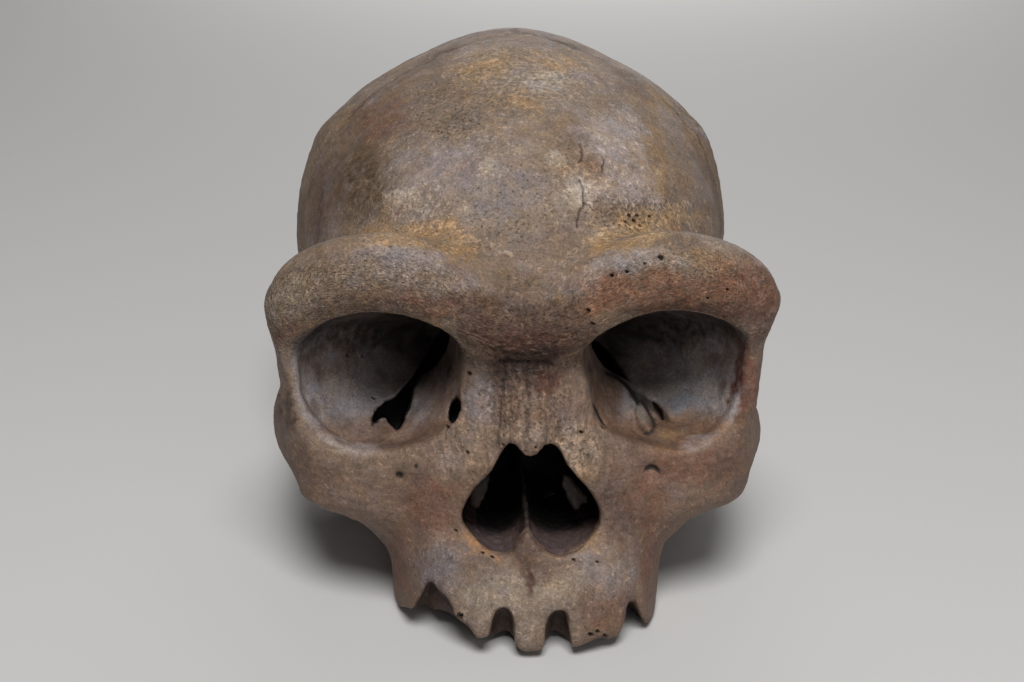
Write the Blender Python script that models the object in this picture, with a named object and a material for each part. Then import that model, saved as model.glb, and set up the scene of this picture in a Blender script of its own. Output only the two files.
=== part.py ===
"""Cranium of an archaic human: a fossil skull without its lower jaw and teeth.

The skull is one piece of bone, so it is modelled as one volume. Each feature of the anatomy adds bone to,
cuts bone from, or swells the surface of a signed distance field. The finished field is turned into a
mesh, thinned out, tilted to its resting pose and worn flat where it touches the ground.

Sizes and places are in millimetres, in the skull's own frame: x runs to the viewer's right from the
midline, y runs back from the front of the brow, and z runs up from the lower rim of the eye sockets.
The finished object is in metres, and stands on z = 0 with its face towards -Y.
"""

import math

import bpy
import numpy as np
import openvdb
from mathutils import Euler, Matrix

MM = 0.001

# Driving dimensions
BROW_HALF_WIDTH = 73.0
VAULT_HALF_WIDTH = 73.0
VAULT_TOP = 118.5
VAULT_BACK = 211.0
ARCH_HALF_WIDTH = 75.8
ORBIT_INNER = 17.5
ORBIT_OUTER = 64.0
ORBIT_TOP = 39.0
ORBIT_DEPTH = 50.0
NOSE_HALF_WIDTH = 19.8
NOSE_FLOOR = -30.5
GUM_FRONT = -57.3
GUM_CURVE = 0.0045
BONE_WALL = 7.5

# Resting pose and mesh
REST_TILT = 12.4
WORN_DEPTH = 0.7
SAMPLE_STEP = 1.5
TRIANGLES = 9000

# The field spans the right half, and is mirrored once the symmetrical bone is done
HALF_LOW = (0.0, -14.0, -70.0)
HALF_HIGH = (87.0, 226.0, 128.0)
FAR = 25.0


def smooth_min(a, b, blend):
    """The lower of two fields, rounded over the blend distance where they meet."""
    if blend <= 0:
        return np.minimum(a, b)
    share = np.clip(0.5 + 0.5 * (b - a) / blend, 0, 1)
    return b + (a - b) * share - blend * share * (1 - share)


class Shape:
    """A solid given by its distance function, with the box that holds it."""

    def __init__(self, low, high, distance):
        self.low = np.array(low, float)
        self.high = np.array(high, float)
        self.distance = distance


class Volume:
    """Signed distance to the bone on a regular grid, negative inside it."""

    def __init__(self, low, high, step):
        self.step = step
        self.axes = [np.arange(a + step / 2, b, step, dtype=np.float32) for a, b in zip(low, high)]
        self.field = np.full([len(axis) for axis in self.axes], FAR, np.float32)

    def window(self, low, high):
        """The part of the grid inside a box: its slices, and its x, y and z for broadcasting."""
        cuts = tuple(slice(*np.searchsorted(axis, (a, b))) for axis, a, b in zip(self.axes, low, high))
        x, y, z = (axis[cut] for axis, cut in zip(self.axes, cuts))
        return cuts, (x[:, None, None], y[None, :, None], z[None, None, :])

    def around(self, shape, blend):
        reach = 2 * blend + 3 * self.step
        return self.window(shape.low - reach, shape.high + reach)

    def add(self, shape, blend):
        cuts, point = self.around(shape, blend)
        self.field[cuts] = smooth_min(self.field[cuts], shape.distance(*point), blend)

    def cut(self, shape, blend):
        cuts, point = self.around(shape, blend)
        self.field[cuts] = -smooth_min(-self.field[cuts], shape.distance(*point), blend)

    def swell(self, centre, spread, height):
        """Raises the surface near a point, or sinks it where height is negative, with a soft edge."""
        centre, spread = np.array(centre, float), np.broadcast_to(np.array(spread, float), 3)
        cuts, point = self.window(centre - 3 * spread, centre + 3 * spread)
        falloff = sum(((axis - c) / s) ** 2 for axis, c, s in zip(point, centre, spread))
        self.field[cuts] -= height * np.exp(-falloff)

    def swell_along(self, line, spread, height):
        """Raises or sinks the surface along a line, as a ridge or a groove."""
        path = tube(line, 0.0)
        cuts, point = self.window(path.low - 3 * spread, path.high + 3 * spread)
        self.field[cuts] -= height * np.exp(-((path.distance(*point) / spread) ** 2))

    def mirrored(self):
        """The whole skull from its right half."""
        whole = Volume((-HALF_HIGH[0], *HALF_LOW[1:]), HALF_HIGH, self.step)
        whole.axes[0] = np.concatenate([-self.axes[0][::-1], self.axes[0]])
        whole.field = np.concatenate([self.field[::-1], self.field])
        return whole


def ellipsoid(centre, radii, turn=(0, 0, 0)):
    """An ellipsoid, turned about x, y and z by degrees."""
    centre, radii = np.array(centre, float), np.array(radii, float)
    axes = np.array(Euler([math.radians(a) for a in turn]).to_matrix())
    reach = np.abs(axes) @ radii

    def distance(x, y, z):
        offset = (x - centre[0], y - centre[1], z - centre[2])
        local = [sum(axes[j, i] * offset[j] for j in range(3)) for i in range(3)]
        near = np.sqrt(sum((c / r) ** 2 for c, r in zip(local, radii)))
        slope = np.sqrt(sum((c / r**2) ** 2 for c, r in zip(local, radii))) + 1e-6
        return near * (near - 1) / slope

    return Shape(centre - reach, centre + reach, distance)


def smooth_line(points, spans=4):
    """Points along a Catmull-Rom curve through the given ones."""
    points = np.array(points, float)
    ends = np.concatenate([[2 * points[0] - points[1]], points, [2 * points[-1] - points[-2]]])
    made = []
    for a, b, c, d in zip(ends, ends[1:], ends[2:], ends[3:]):
        for t in np.arange(spans) / spans:
            made.append(0.5 * (2 * b + (c - a) * t + (2 * a - 5 * b + 4 * c - d) * t**2
                               + (3 * b - a - 3 * c + d) * t**3))
    return np.array(made + [points[-1]])


def tube(points, radius=None, flat=(1, 1, 1)):
    """A round bar along a smooth curve. Each point is x, y, z and, unless radius is given, its radius.
    flat squeezes the bar's section along x, y or z."""
    if radius is not None:
        points = [(*p, radius) for p in points]
    line = smooth_line(points)
    flat = np.array(flat, float)
    reach = line[:, 3:].max() * flat

    def distance(x, y, z):
        nearest = None
        for start, end in zip(line[:-1], line[1:]):
            way = (end[:3] - start[:3]) / flat
            offset = [(c - s) / f for c, s, f in zip((x, y, z), start[:3], flat)]
            along = sum(o * w for o, w in zip(offset, way)) / max(way @ way, 1e-9)
            along = np.clip(along, 0, 1)
            away = [o - along * w for o, w in zip(offset, way)]
            length = np.sqrt(sum(a * a for a in away)) + 1e-6
            slope = np.sqrt(sum((a / f) ** 2 for a, f in zip(away, flat))) / length + 1e-3
            there = (length - start[3] - along * (end[3] - start[3])) / slope
            nearest = there if nearest is None else np.minimum(nearest, there)
        return nearest

    return Shape(line[:, :3].min(0) - reach, line[:, :3].max(0) + reach, distance)


def outline_distance(u, v, outline):
    """Signed distance in a plane to a closed outline, negative inside."""
    inside = np.zeros(np.broadcast(u, v).shape, bool)
    nearest = np.full(inside.shape, np.inf)
    for (u0, v0), (u1, v1) in zip(outline, np.roll(outline, -1, axis=0)):
        du, dv = u1 - u0, v1 - v0
        along = np.clip(((u - u0) * du + (v - v0) * dv) / max(du * du + dv * dv, 1e-9), 0, 1)
        nearest = np.minimum(nearest, (u - u0 - along * du) ** 2 + (v - v0 - along * dv) ** 2)
        crosses = ((v0 <= v) & (v < v1)) | ((v1 <= v) & (v < v0))
        inside ^= crosses & (u < u0 + (v - v0) * du / (dv if dv else 1e-9))
    return np.where(inside, -1, 1) * np.sqrt(nearest)


def mixed(a, b, share):
    return a + (b - a) * share


# The braincase


def braincase(bone):
    """The vault, built from the masses that bulge it."""
    bone.add(ellipsoid((0, 121, VAULT_TOP - 68.5), (VAULT_HALF_WIDTH, 90, 68.5)), 10)
    bone.add(ellipsoid((0, 73, 50), (62.5, 56, 46)), 10)
    bone.add(ellipsoid((0, 160, 24), (62, VAULT_BACK - 160, 40)), 10)
    bone.add(ellipsoid((0, 140, 4), (54, 52, 26), (-6, 0, 0)), 12)
    bone.add(ellipsoid((26, 80, 12), (31, 34, 30)), 10)


def vault_relief(bone):
    """What makes the vault a low tent: flat slopes beside a keel, bosses at the sides, and faint lines."""
    bone.swell((32, 114, 106), (20, 44, 18), -1.7)
    bone.swell((0, 98, 118), (10, 40, 12), 0.8)
    bone.swell((64, 116, 80), (14, 32, 18), 1.5)
    bone.swell((34, 178, 84), (26, 30, 26), -1.6)
    bone.swell((0, 44, 90), (30, 18, 18), 1.5)
    bone.swell((0, 178, 94), (40, 18, 18), -1.2)
    bone.swell_along([(60, 26, 52), (55, 42, 68), (58, 66, 81), (64, 96, 85), (66, 126, 83), (63, 150, 74),
                      (62, 166, 54), (64, 160, 32)], 7, 0.8)
    bone.swell((50, 42, 42), (12, 14, 22), -3.0)


def back_ridge(bone):
    """The blunt ridge across the back, with a hollow over it and the flatter neck plane under it."""
    bone.swell_along([(0, VAULT_BACK - 2, 22), (25, 204, 23), (45, 189, 21), (60, 164, 18)], 9, 3.6)
    bone.swell_along([(0, 206, 44), (25, 202, 44), (45, 188, 42)], 10, -1.2)
    bone.swell((0, 186, -14), (3, 24, 14), 1.4)
    bone.swell((24, 182, -10), (15, 14, 12), -1.6)


def brow_ridge(bone):
    """The bar over the eye sockets, one arch a side, with a heavy outer end, and the shelf behind it."""
    bone.add(ellipsoid((50, 30, 46), (17, 19, 10), (-4, 0, 0)), 10)
    bone.add(ellipsoid((0, 24, 46), (46, 15, 13)), 10)
    bone.add(tube([(0, 11.5, 34.8, 9.6), (8, 11, 36.2, 9.9), (16, 10, 40, 10.2), (27, 10, 46.5, 10.8),
                   (38, 10.5, 50, 11.0), (49, 12.5, 49, 10.5), (59, 16, 44.5, 10.2),
                   (BROW_HALF_WIDTH - 9, 20.5, 39.5, 9.3)]), 8)
    bone.add(ellipsoid((61, 24, 35), (9, 9, 11)), 6)


FACE_OUTLINE = [(-2, 30), (16, 32), (21, 14), (27, 7), (57, 6), (61, 11), (67, 11), (69, 0), (68.3, -9),
                (66.5, -17.5), (60.5, -23.5), (47, -28.8), (39.5, -32.5), (38.5, -40), (37.5, -50), (-2, -54)]


def smooth_step(low, high, value):
    share = np.clip((value - low) / (high - low), 0, 1)
    return share * share * (3 - 2 * share)


def face_front(x, z):
    """How far back the front of the face lies: a flat wedge at the cheeks, a curved wall at the gums."""
    x = np.abs(x)
    cheek = 3.2 + 0.25 * x + 0.012 * np.maximum(x - 45, 0) ** 2 + 0.22 * np.maximum(z + 5, 0)
    gum = 0.5 + 26 * (x / 38) ** 3.2
    return mixed(gum, cheek, smooth_step(-44, -18, z))


def face_plate(bone):
    """The middle of the face as a plate with its own outline, from the nose out to the cheekbones."""
    thick = 12.0

    def distance(x, y, z):
        section = outline_distance(x[:, 0, :], z[:, 0, :], FACE_OUTLINE)[:, None, :]
        front = face_front(x, z)
        depth = np.abs(y - front - thick / 2) - thick / 2
        return smooth_max(section, 0.92 * depth, 4)

    bone.add(Shape((-2, 0, -56), (72, 52, 34), distance), 6)


def face_relief(bone):
    """The groove below each eye socket, and the swellings of the cheekbone and over the tooth roots."""
    bone.swell_along([(36, 11.5, -9), (36.5, 12.5, -18), (35, 13, -28)], 4.5, -1.4)
    bone.swell((54, 18, -13), (10, 10, 7), 0.9)
    bone.swell_along([(22, 6, -30), (23.5, 7, -46)], 3.5, 1.0)
    bone.swell_along([(9, 1.5, -35), (9.5, 1, -46)], 3, 0.6)


def cheek_frame(bone):
    """The rim below and outside the eye socket."""
    bone.add(tube([(19, 20, 4, 4.0), (28, 20, -4.0, 4.6), (42, 21.5, -5.5, 5.0), (56, 24.5, -3, 5.6),
                   (64.5, 26, 6, 4.8), (66.5, 26, 19, 4.2), (66.5, 24.5, 32, 5.0)]), 5)


ORBIT_RIM = [(ORBIT_INNER, 21), (18.2, 30), (22.5, 34.5), (30, 37.5), (40, ORBIT_TOP - 0.3), (50, 37.7),
             (58.5, 34), (63.7, 27.5), (ORBIT_OUTER, 17), (61.3, 8), (55, 1.4), (46, -1.3), (36, -0.4),
             (26, 2.8), (20, 9.5)]
ORBIT_CENTRE = (41, 19)
ORBIT_APEX = (23, 26)
ORBIT_NARROWING = [(-0.4, 1.08), (0, 1.0), (0.1, 1.03), (0.3, 0.90), (0.6, 0.62), (0.85, 0.34), (1, 0.12)]


def orbit(margin=0.0):
    """The hollow of an eye socket, narrowing back towards its apex, with the floor rising at the inner
    side. margin makes it larger all round."""
    apex_y = 12.0 + ORBIT_DEPTH
    rim = smooth_line([*ORBIT_RIM, ORBIT_RIM[0]])[:-1] - ORBIT_CENTRE
    rim_turn = np.arctan2(rim[:, 1], rim[:, 0])
    rim_radius = np.hypot(rim[:, 0], rim[:, 1])
    inner_floor = math.radians(-135)
    bulge = 0.34

    def distance(x, y, z):
        rim_y = 10.5 + 0.2 * x - 0.15 * z
        depth = np.clip((y - rim_y) / (apex_y - rim_y), -0.4, 0.98)
        size = np.interp(depth, *np.transpose(ORBIT_NARROWING))
        out = x - mixed(ORBIT_APEX[0], ORBIT_CENTRE[0], size)
        rise = z - mixed(ORBIT_APEX[1], ORBIT_CENTRE[1], size)
        turn = np.arctan2(rise, out)
        lobe = np.maximum(np.cos(turn - inner_floor), 0) ** 2 * smooth_step(0, 0.5, depth)
        radius = np.interp(turn, rim_turn, rim_radius, period=2 * math.pi) * size * (1 - bulge * lobe)
        return np.maximum(0.95 * (np.hypot(out, rise) - radius), y - apex_y) - margin

    return Shape((ORBIT_INNER - 8, -12, -8), (ORBIT_OUTER + 8, apex_y + 5, ORBIT_TOP + 8), distance)


def orbit_housing(bone):
    """The thin walls behind the rim, which back the eye socket's hollow."""
    wall = 3.5
    hollow = orbit(wall)
    rim_y = 21.0

    def distance(x, y, z):
        return np.maximum(hollow.distance(x, y, z), rim_y - y)

    bone.add(Shape(hollow.low, hollow.high, distance), 5)


def nose_and_jaw(bone):
    """The nose root, the nasal bones and the mass of the upper jaw behind the face."""
    bone.add(ellipsoid((0, 34, 22), (19, 21, 26)), 5)
    bone.add(tube([(0, 17.5, 26, 7.6), (0, 14, 14, 7.4), (0, 8, 3, 7.2)]), 3.5)
    bone.add(ellipsoid((24, 38, -22), (18, 24, 22)), 6)
    bone.add(ellipsoid((0, 44, -14), (24, 28, 30)), 6)
    bone.add(ellipsoid((0, 28, -40), (29, 24, 16)), 6)
    bone.add(tube([(32, 34, -44, 5.5), (33, 32, -36, 5.5), (40, 31, -24, 6.5)]), 5)


ARCADE = [(0, 6.5), (10, 6.5), (19, 8.5), (26, 12.5), (30, 18.5), (31.5, 27), (32, 37), (32.5, 48), (32, 60)]
GUM_HALF_THICK = 6.3


def gum_edge(y):
    """Height of the tooth row's edge, which rises towards the back."""
    return GUM_FRONT + GUM_CURVE * y * y


def smooth_max(a, b, blend):
    return -smooth_min(-a, -b, blend)


def tooth_row(bone):
    """The curved wall of bone that held the teeth, thinner towards the nose."""
    line = smooth_line(ARCADE, 3)
    taper = 2.5

    def distance(x, y, z):
        flat_distance = None
        for (x0, y0), (x1, y1) in zip(line[:-1], line[1:]):
            dx, dy = x1 - x0, y1 - y0
            along = np.clip(((x - x0) * dx + (y - y0) * dy) / (dx * dx + dy * dy), 0, 1)
            there = np.hypot(x - x0 - along * dx, y - y0 - along * dy)
            flat_distance = there if flat_distance is None else np.minimum(flat_distance, there)
        height = 0.9 * (np.abs(z - gum_edge(y) - 14) - 14)
        half_thick = GUM_HALF_THICK - taper * smooth_step(8, 28, z - gum_edge(y))
        return smooth_max(flat_distance - half_thick, height, 3)

    bone.add(Shape((-8, -2, GUM_FRONT - 2), (42, 68, -18), distance), 6)


def cheek_arch(bone):
    """The free bar from the cheekbone back to the ear."""
    bone.add(tube([(61, 30, -5, 10), (70, 41, -3, 8), (ARCH_HALF_WIDTH - 2.8, 56, -1, 7),
                   (ARCH_HALF_WIDTH - 3, 72, 1, 7), (71, 86, 3, 8), (66, 98, 5, 9)], flat=(0.42, 1, 1)), 5)


def ear_region(bone):
    """The root of the arch, the crest over the ear, the mastoid and the jaw joint."""
    bone.add(tube([(62, 90, 4, 8), (66, 104, 8, 8), (65, 118, 12, 7.5), (58, 134, 20, 6)]), 8)
    bone.add(ellipsoid((58, 86, 2), (13, 14, 8)), 6)
    bone.add(ellipsoid((58, 114, -12), (10.5, 14, 23.0), (8, 8, 0)), 8)
    bone.add(tube([(56, 104, -8, 8), (40, 104, -15, 10), (20, 98, -19, 9)]), 6)


def skull_base(bone):
    """The floor of the skull from the occipital condyles forward to the wings behind the palate."""
    bone.add(tube([(0, 114, -21, 9), (0, 97, -20, 10), (0, 80, -12, 13), (0, 70, -2, 13)]), 6)
    bone.add(ellipsoid((28, 68, -4), (18, 20, 12)), 8)
    bone.add(ellipsoid((0, 79, -20), (20, 13, 16)), 6)
    bone.add(ellipsoid((19, 116, -24), (6, 12, 7), (0, 0, -25)), 4)
    bone.add(tube([(14, 66, -10, 6), (16, 65, -24, 5), (19, 66, -36, 4)], flat=(0.6, 1, 1)), 4)
    bone.add(ellipsoid((26, 55, -32), (9, 10, 11)), 5)


# The hollows


NOSE_OUTLINE = [(0.3, -1.2), (-3.8, 2.9), (-6.3, 0.4), (-10.2, -6.1), (-15.2, -11), (-19.2, -18.5),
                (-18, -22.6), (-13, -27.3), (-9.2, -28.7), (-5.6, -27.8), (-2.9, -23.6), (-0.9, -21.5),
                (1.3, -24.1), (3.8, -27.4), (7.5, NOSE_FLOOR + 1.4), (11.7, -28.2), (16.3, -25.3),
                (NOSE_HALF_WIDTH, -20.5), (19.3, -16.5), (16.3, -10.9), (11.7, -5.5), (9.6, -1.2),
                (7.5, 1.6), (5.2, 1.7), (3, -0.3)]


def nose_opening():
    """The pear-shaped opening, with the spike of bone on the midline of its floor, and the wider space
    behind its thin edge."""
    outline = smooth_line([*NOSE_OUTLINE, NOSE_OUTLINE[0]], 2)[:-1]
    lip, back = 3.0, 62.0

    def distance(x, y, z):
        section = outline_distance(x[:, 0, :], z[:, 0, :], outline)[:, None, :]
        behind = smooth_step(0, 6, y - face_front(x, z) - lip)
        narrow = 5 * smooth_step(24, 60, y)
        return np.maximum(section - 1.8 * behind + narrow, y - back)

    return Shape((-24, -12, -36), (24, back, 8), distance)


def hollow_orbits(bone):
    bone.cut(orbit(), 1.2)


def nose_passages(bone):
    """The way back from the nose, down behind the palate."""
    bone.cut(tube([(6.5, 36, -13, 7.5), (6.5, 50, -18, 6.5), (6.5, 58, -24, 5.5), (7, 63, -36, 6),
                   (7.5, 66, -44, 7)]), 2)


def hollow_palate(bone):
    bone.cut(ellipsoid((0, 40, -58), (21.5, 35, 16.5), (9, 0, 0)), 4)


def ear_and_joint(bone):
    bone.cut(tube([(80, 101, -1, 4.5), (60, 101, -1, 4.5), (48, 98, -2, 3.5)]), 2)
    bone.cut(ellipsoid((56, 92, -9), (11, 6, 7)), 3)
    bone.cut(tube([(47, 104, -30, 3), (47, 118, -27, 3.5), (48, 132, -22, 3)]), 4)


def hollow_cavity(bone, vault):
    """The space for the brain, one wall thickness inside the vault and clear of the eye sockets."""
    clear = 3.0
    hollow = orbit()
    cuts, point = bone.window(hollow.low - 8, hollow.high + 8)
    space = vault + BONE_WALL
    space[cuts] = np.maximum(space[cuts], clear - hollow.distance(*point))
    bone.field = -smooth_min(-bone.field, space, 2)
    bone.cut(tube([(0, 128, -45, 15.5), (0, 131, 0, 15.5)], flat=(1, 1.15, 1)), 3)


def fissures(bone):
    """The slot between the outer wall and the floor of the eye socket, and the pit of the tear duct."""
    bone.cut(tube([(45, 30, 2.5, 1.4), (40, 38, 5.5, 2.8), (34, 46, 10, 2.8), (28, 52, 17, 2.4),
                   (23, 57, 25, 2.6)], flat=(1, 3, 1)), 1)
    bone.cut(tube([(18.5, 19, 9, 2.2), (17.5, 20, -1, 2.2)]), 1)


SOCKETS = [(8.0, 3.5, 3.4), (17.0, 3.4, 3.4), (26.0, 4.0, 4.2), (34.5, 3.4, 4.4), (42.0, 3.4, 4.4),
           (51.5, 4.6, 4.6), (62.0, 4.6, 4.6), (71.5, 4.2, 4.4)]


def place_on_arcade(distance_along):
    """The point of the tooth row that far along it from the midline, and its direction."""
    line = smooth_line(ARCADE, 12)
    steps = np.hypot(*np.diff(line, axis=0).T)
    reached = np.concatenate([[0], np.cumsum(steps)])
    x, y = (np.interp(distance_along, reached, line[:, i]) for i in range(2))
    ahead = [np.interp(distance_along + 0.5, reached, line[:, i]) for i in range(2)]
    return x, y, math.degrees(math.atan2(ahead[1] - y, ahead[0] - x))


def tooth_sockets(bone):
    depth = 11.0
    for along, half_long, half_across in SOCKETS:
        x, y, heading = place_on_arcade(along)
        bone.cut(ellipsoid((x, y, gum_edge(y) - 1), (half_long, half_across, depth), (0, 0, heading)), 1)


BREAK_SLOPE = 0.36
GUM_MARGIN = [(-45, -41), (-33.4, -43.8), (-30.6, -42.4), (-27.8, -44.5), (-26.1, -43.8), (-23.1, -44.6),
              (-17.7, -48.8), (-15.8, -52.6), (-12.1, -52.1), (-5.1, -53.4), (-2.5, -56.7), (2, -56.8),
              (5.6, -54.2), (8.2, -54.8), (10.7, -56.7), (13.8, -55.5), (18.9, -52.9), (23.1, -53.3),
              (26.2, -51.3), (26.7, -48), (29.8, -48.7), (33.5, -49.6), (45, -47)]
GUM_BREAKS = [(5, [(-33, -42.6), (-31, -39), (-29.3, -35.1), (-28.2, -34.8), (-26.2, -37.8), (-24, -39.9),
                   (-22, -44.1), (-24, -60), (-33, -60)]),
              (5, [(-12.1, -52.5), (-11, -46.8), (-9.9, -44.1), (-7.3, -43.5), (-5.9, -45), (-5.1, -47.4),
                   (-4.5, -52.8), (-4.3, -64), (-12.5, -64)]),
              (5, [(3.7, -50.7), (4.9, -46.2), (6.8, -44.3), (9.4, -44.2), (10.4, -46.8), (11.2, -54),
                   (11.4, -64), (3.2, -64)]),
              (3.5, [(26.8, -47.1), (27.6, -43.2), (29.6, -41.7), (31.2, -44.7), (33.2, -48.9), (33, -60),
                     (27, -60)])]


def broken_gums(bone):
    """The worn lower edge of the gums, and the breaks that open the front tooth sockets. Both are cut
    along the slope of the worn edge, which drops towards the back."""
    margin_x, margin_z = np.transpose(GUM_MARGIN)
    deepest = 26

    def below(x, y, z):
        return 0.8 * (z + BREAK_SLOPE * y - np.interp(x, margin_x, margin_z))

    bone.cut(Shape((-42, -6, -68), (42, 46, -40), below), 1)
    for deep, outline in GUM_BREAKS:
        def opened(x, y, z, deep=deep, outline=outline):
            section = outline_distance(x + 0 * y, z + BREAK_SLOPE * y, outline)
            return np.maximum(section, y - face_front(x, z) - deep)

        points = np.array(outline)
        low, high = points.min(0), points.max(0)
        bone.cut(Shape((low[0], -8, low[1] - 3), (high[0], deepest, high[1]), opened), 0.8)


def leaned(points):
    """The slight lean that makes no skull symmetrical: a wider right side and a shifted crown."""
    x, y, z = points.T
    spread = 0.5 * (x / 75) ** 2
    crown = 1.2 * smooth_step(45, 118, z)
    jaw = 1.6 * smooth_step(8, -26, z) * smooth_step(70, 40, y)
    cheek = -1.6 * smooth_step(48, 72, x) * smooth_step(44, 28, z) * smooth_step(110, 60, y)
    return np.stack([x + spread + crown + jaw + cheek, y, z], axis=1)


# The finished object


def skull_field(step):
    """The bone as a field on the whole grid."""
    bone = Volume(HALF_LOW, HALF_HIGH, step)
    braincase(bone)
    vault = bone.field.copy()
    for feature in (vault_relief, back_ridge, brow_ridge, face_plate, cheek_frame, orbit_housing,
                    nose_and_jaw, tooth_row, face_relief, cheek_arch, ear_region, skull_base):
        feature(bone)
    hollow_cavity(bone, vault)
    for hollow in (hollow_orbits, nose_passages, hollow_palate, ear_and_joint, fissures, tooth_sockets):
        hollow(bone)
    whole = bone.mirrored()
    whole.cut(nose_opening(), 1.0)
    broken_gums(whole)
    return whole


def mesh_of(volume):
    """The field's zero surface as a mesh, in millimetres."""
    grid = openvdb.FloatGrid(FAR)
    grid.copyFromArray(np.ascontiguousarray(volume.field))
    points, triangles, quads = grid.convertToPolygons(0.0, 0.0)
    origin = [axis[0] for axis in volume.axes]
    mesh = bpy.data.meshes.new("cranium")
    faces = [tuple(int(i) for i in face) for face in [*triangles, *quads]]
    mesh.from_pydata([tuple(p) for p in leaned(points * volume.step + origin)], [], faces)
    return mesh


def set_down(mesh):
    """Tilts the skull until it rests on its gums, mastoids and neck plane, and centres it over z = 0."""
    mesh.transform(Matrix.Scale(MM, 4) @ Matrix.Rotation(-math.radians(REST_TILT), 4, "X"))
    corners = np.array([vertex.co for vertex in mesh.vertices])
    low, high = corners.min(0), corners.max(0)
    ground = low[2] + WORN_DEPTH * MM
    mesh.transform(Matrix.Translation((-(low[0] + high[0]) / 2, -(low[1] + high[1]) / 2, -ground)))


def collection(name):
    made = bpy.data.collections.new(name)
    bpy.context.scene.collection.children.link(made)
    return made


def ground_block(cutters):
    """What lies below z = 0, as a block that wears the skull flat wherever it touches the ground."""
    size, deep = 0.4, 0.02
    bpy.ops.mesh.primitive_cube_add(size=1.0, location=(0, 0, -deep / 2))
    block = bpy.context.active_object
    block.name = "ground"
    block.scale = (size, size, deep)
    block.display_type = "WIRE"
    block.hide_render = True
    for holder in block.users_collection:
        holder.objects.unlink(block)
    cutters.objects.link(block)
    return block


def thin_and_wear(skull, ground):
    """Thins the mesh out to its budget, then cuts it with the ground."""
    thinner = skull.modifiers.new("thinner", "DECIMATE")
    thinner.ratio = TRIANGLES / sum(len(face.vertices) - 2 for face in skull.data.polygons)
    thinner.use_collapse_triangulate = True
    wear = skull.modifiers.new("wear", "BOOLEAN")
    wear.operation = "DIFFERENCE"
    wear.solver = "EXACT"
    wear.object = ground
    weld = skull.modifiers.new("weld", "WELD")
    weld.merge_threshold = 0.00002
    skull.modifiers.new("triangles", "TRIANGULATE")


def fossil_bone():
    material = bpy.data.materials.new("fossil_bone")
    material.use_nodes = True
    shader = material.node_tree.nodes["Principled BSDF"]
    shader.inputs["Base Color"].default_value = (0.19, 0.125, 0.08, 1)
    shader.inputs["Roughness"].default_value = 0.72
    return material


def main():
    for thing in list(bpy.data.objects):
        bpy.data.objects.remove(thing)
    skull = bpy.data.objects.new("cranium", mesh_of(skull_field(SAMPLE_STEP)))
    collection("fossil_cranium").objects.link(skull)
    set_down(skull.data)
    thin_and_wear(skull, ground_block(collection("cutters")))
    skull.data.materials.append(fossil_bone())


main()
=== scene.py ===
"""The look of the fossil cranium: its fine surface, its stained bone, the floor, the light and the camera.

The bone is built as one volume, feature by feature, like the solid that it replaces, on a finer grid and
with what is too small for that solid: thin walls, cracks, pores, seams and the grain of the surface.

Sizes and places are in millimetres, in the skull's own frame: x runs to the viewer's right from the
midline, y runs back from the front of the brow, and z runs up from the lower rim of the eye sockets.
"""

import itertools
import math

import bpy
import numpy as np
import openvdb
from mathutils import Euler, Matrix, Vector


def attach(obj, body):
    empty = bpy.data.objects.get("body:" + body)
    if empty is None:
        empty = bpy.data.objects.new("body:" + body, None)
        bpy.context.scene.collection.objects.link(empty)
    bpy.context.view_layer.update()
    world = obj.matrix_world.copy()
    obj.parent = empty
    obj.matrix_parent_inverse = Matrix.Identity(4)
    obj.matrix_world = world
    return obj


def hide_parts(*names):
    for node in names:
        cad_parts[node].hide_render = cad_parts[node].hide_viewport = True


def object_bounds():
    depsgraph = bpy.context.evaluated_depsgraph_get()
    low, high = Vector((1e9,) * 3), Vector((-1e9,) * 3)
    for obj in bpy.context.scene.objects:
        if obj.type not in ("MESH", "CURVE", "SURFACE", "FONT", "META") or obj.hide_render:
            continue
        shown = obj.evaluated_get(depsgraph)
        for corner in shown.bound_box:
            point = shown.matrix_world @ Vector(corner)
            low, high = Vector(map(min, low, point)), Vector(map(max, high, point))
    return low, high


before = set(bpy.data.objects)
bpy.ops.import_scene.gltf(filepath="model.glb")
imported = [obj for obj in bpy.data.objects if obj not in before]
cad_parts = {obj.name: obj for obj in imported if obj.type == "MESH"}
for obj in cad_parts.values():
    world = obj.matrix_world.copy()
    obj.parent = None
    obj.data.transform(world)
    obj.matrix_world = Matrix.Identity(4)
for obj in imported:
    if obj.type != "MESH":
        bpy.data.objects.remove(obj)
CAD_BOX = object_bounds()

MM = 0.001

# Driving dimensions
BROW_HALF_WIDTH = 73.0
VAULT_HALF_WIDTH = 73.0
VAULT_TOP = 118.5
VAULT_BACK = 211.0
ARCH_HALF_WIDTH = 75.8
ORBIT_INNER = 17.5
ORBIT_OUTER = 64.0
ORBIT_TOP = 39.0
ORBIT_DEPTH = 50.0
NOSE_HALF_WIDTH = 19.8
NOSE_FLOOR = -30.5
GUM_FRONT = -57.3
GUM_CURVE = 0.0045
BONE_WALL = 7.5

# Resting pose and mesh
REST_TILT = 12.4
WORN_DEPTH = 0.7
SAMPLE_STEP = 0.8

# The field spans the right half, and is mirrored once the symmetrical bone is done
HALF_LOW = (0.0, -14.0, -70.0)
HALF_HIGH = (87.0, 226.0, 128.0)
FAR = 25.0

# The photo's camera, in the skull's own frame
PHOTO_WIDTH, PHOTO_HEIGHT = 1024, 682
FOCAL_PIXELS = 1536.0
SENSOR = 36.0
VIEW_ELEVATION = 10.0
VIEW_YAW = 2.5
VIEW_AIM = (0.0, 14.0, 40.6)
VIEW_SHIFT = (-3.36, -10.6)
VIEW_DISTANCE = 430.0


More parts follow.
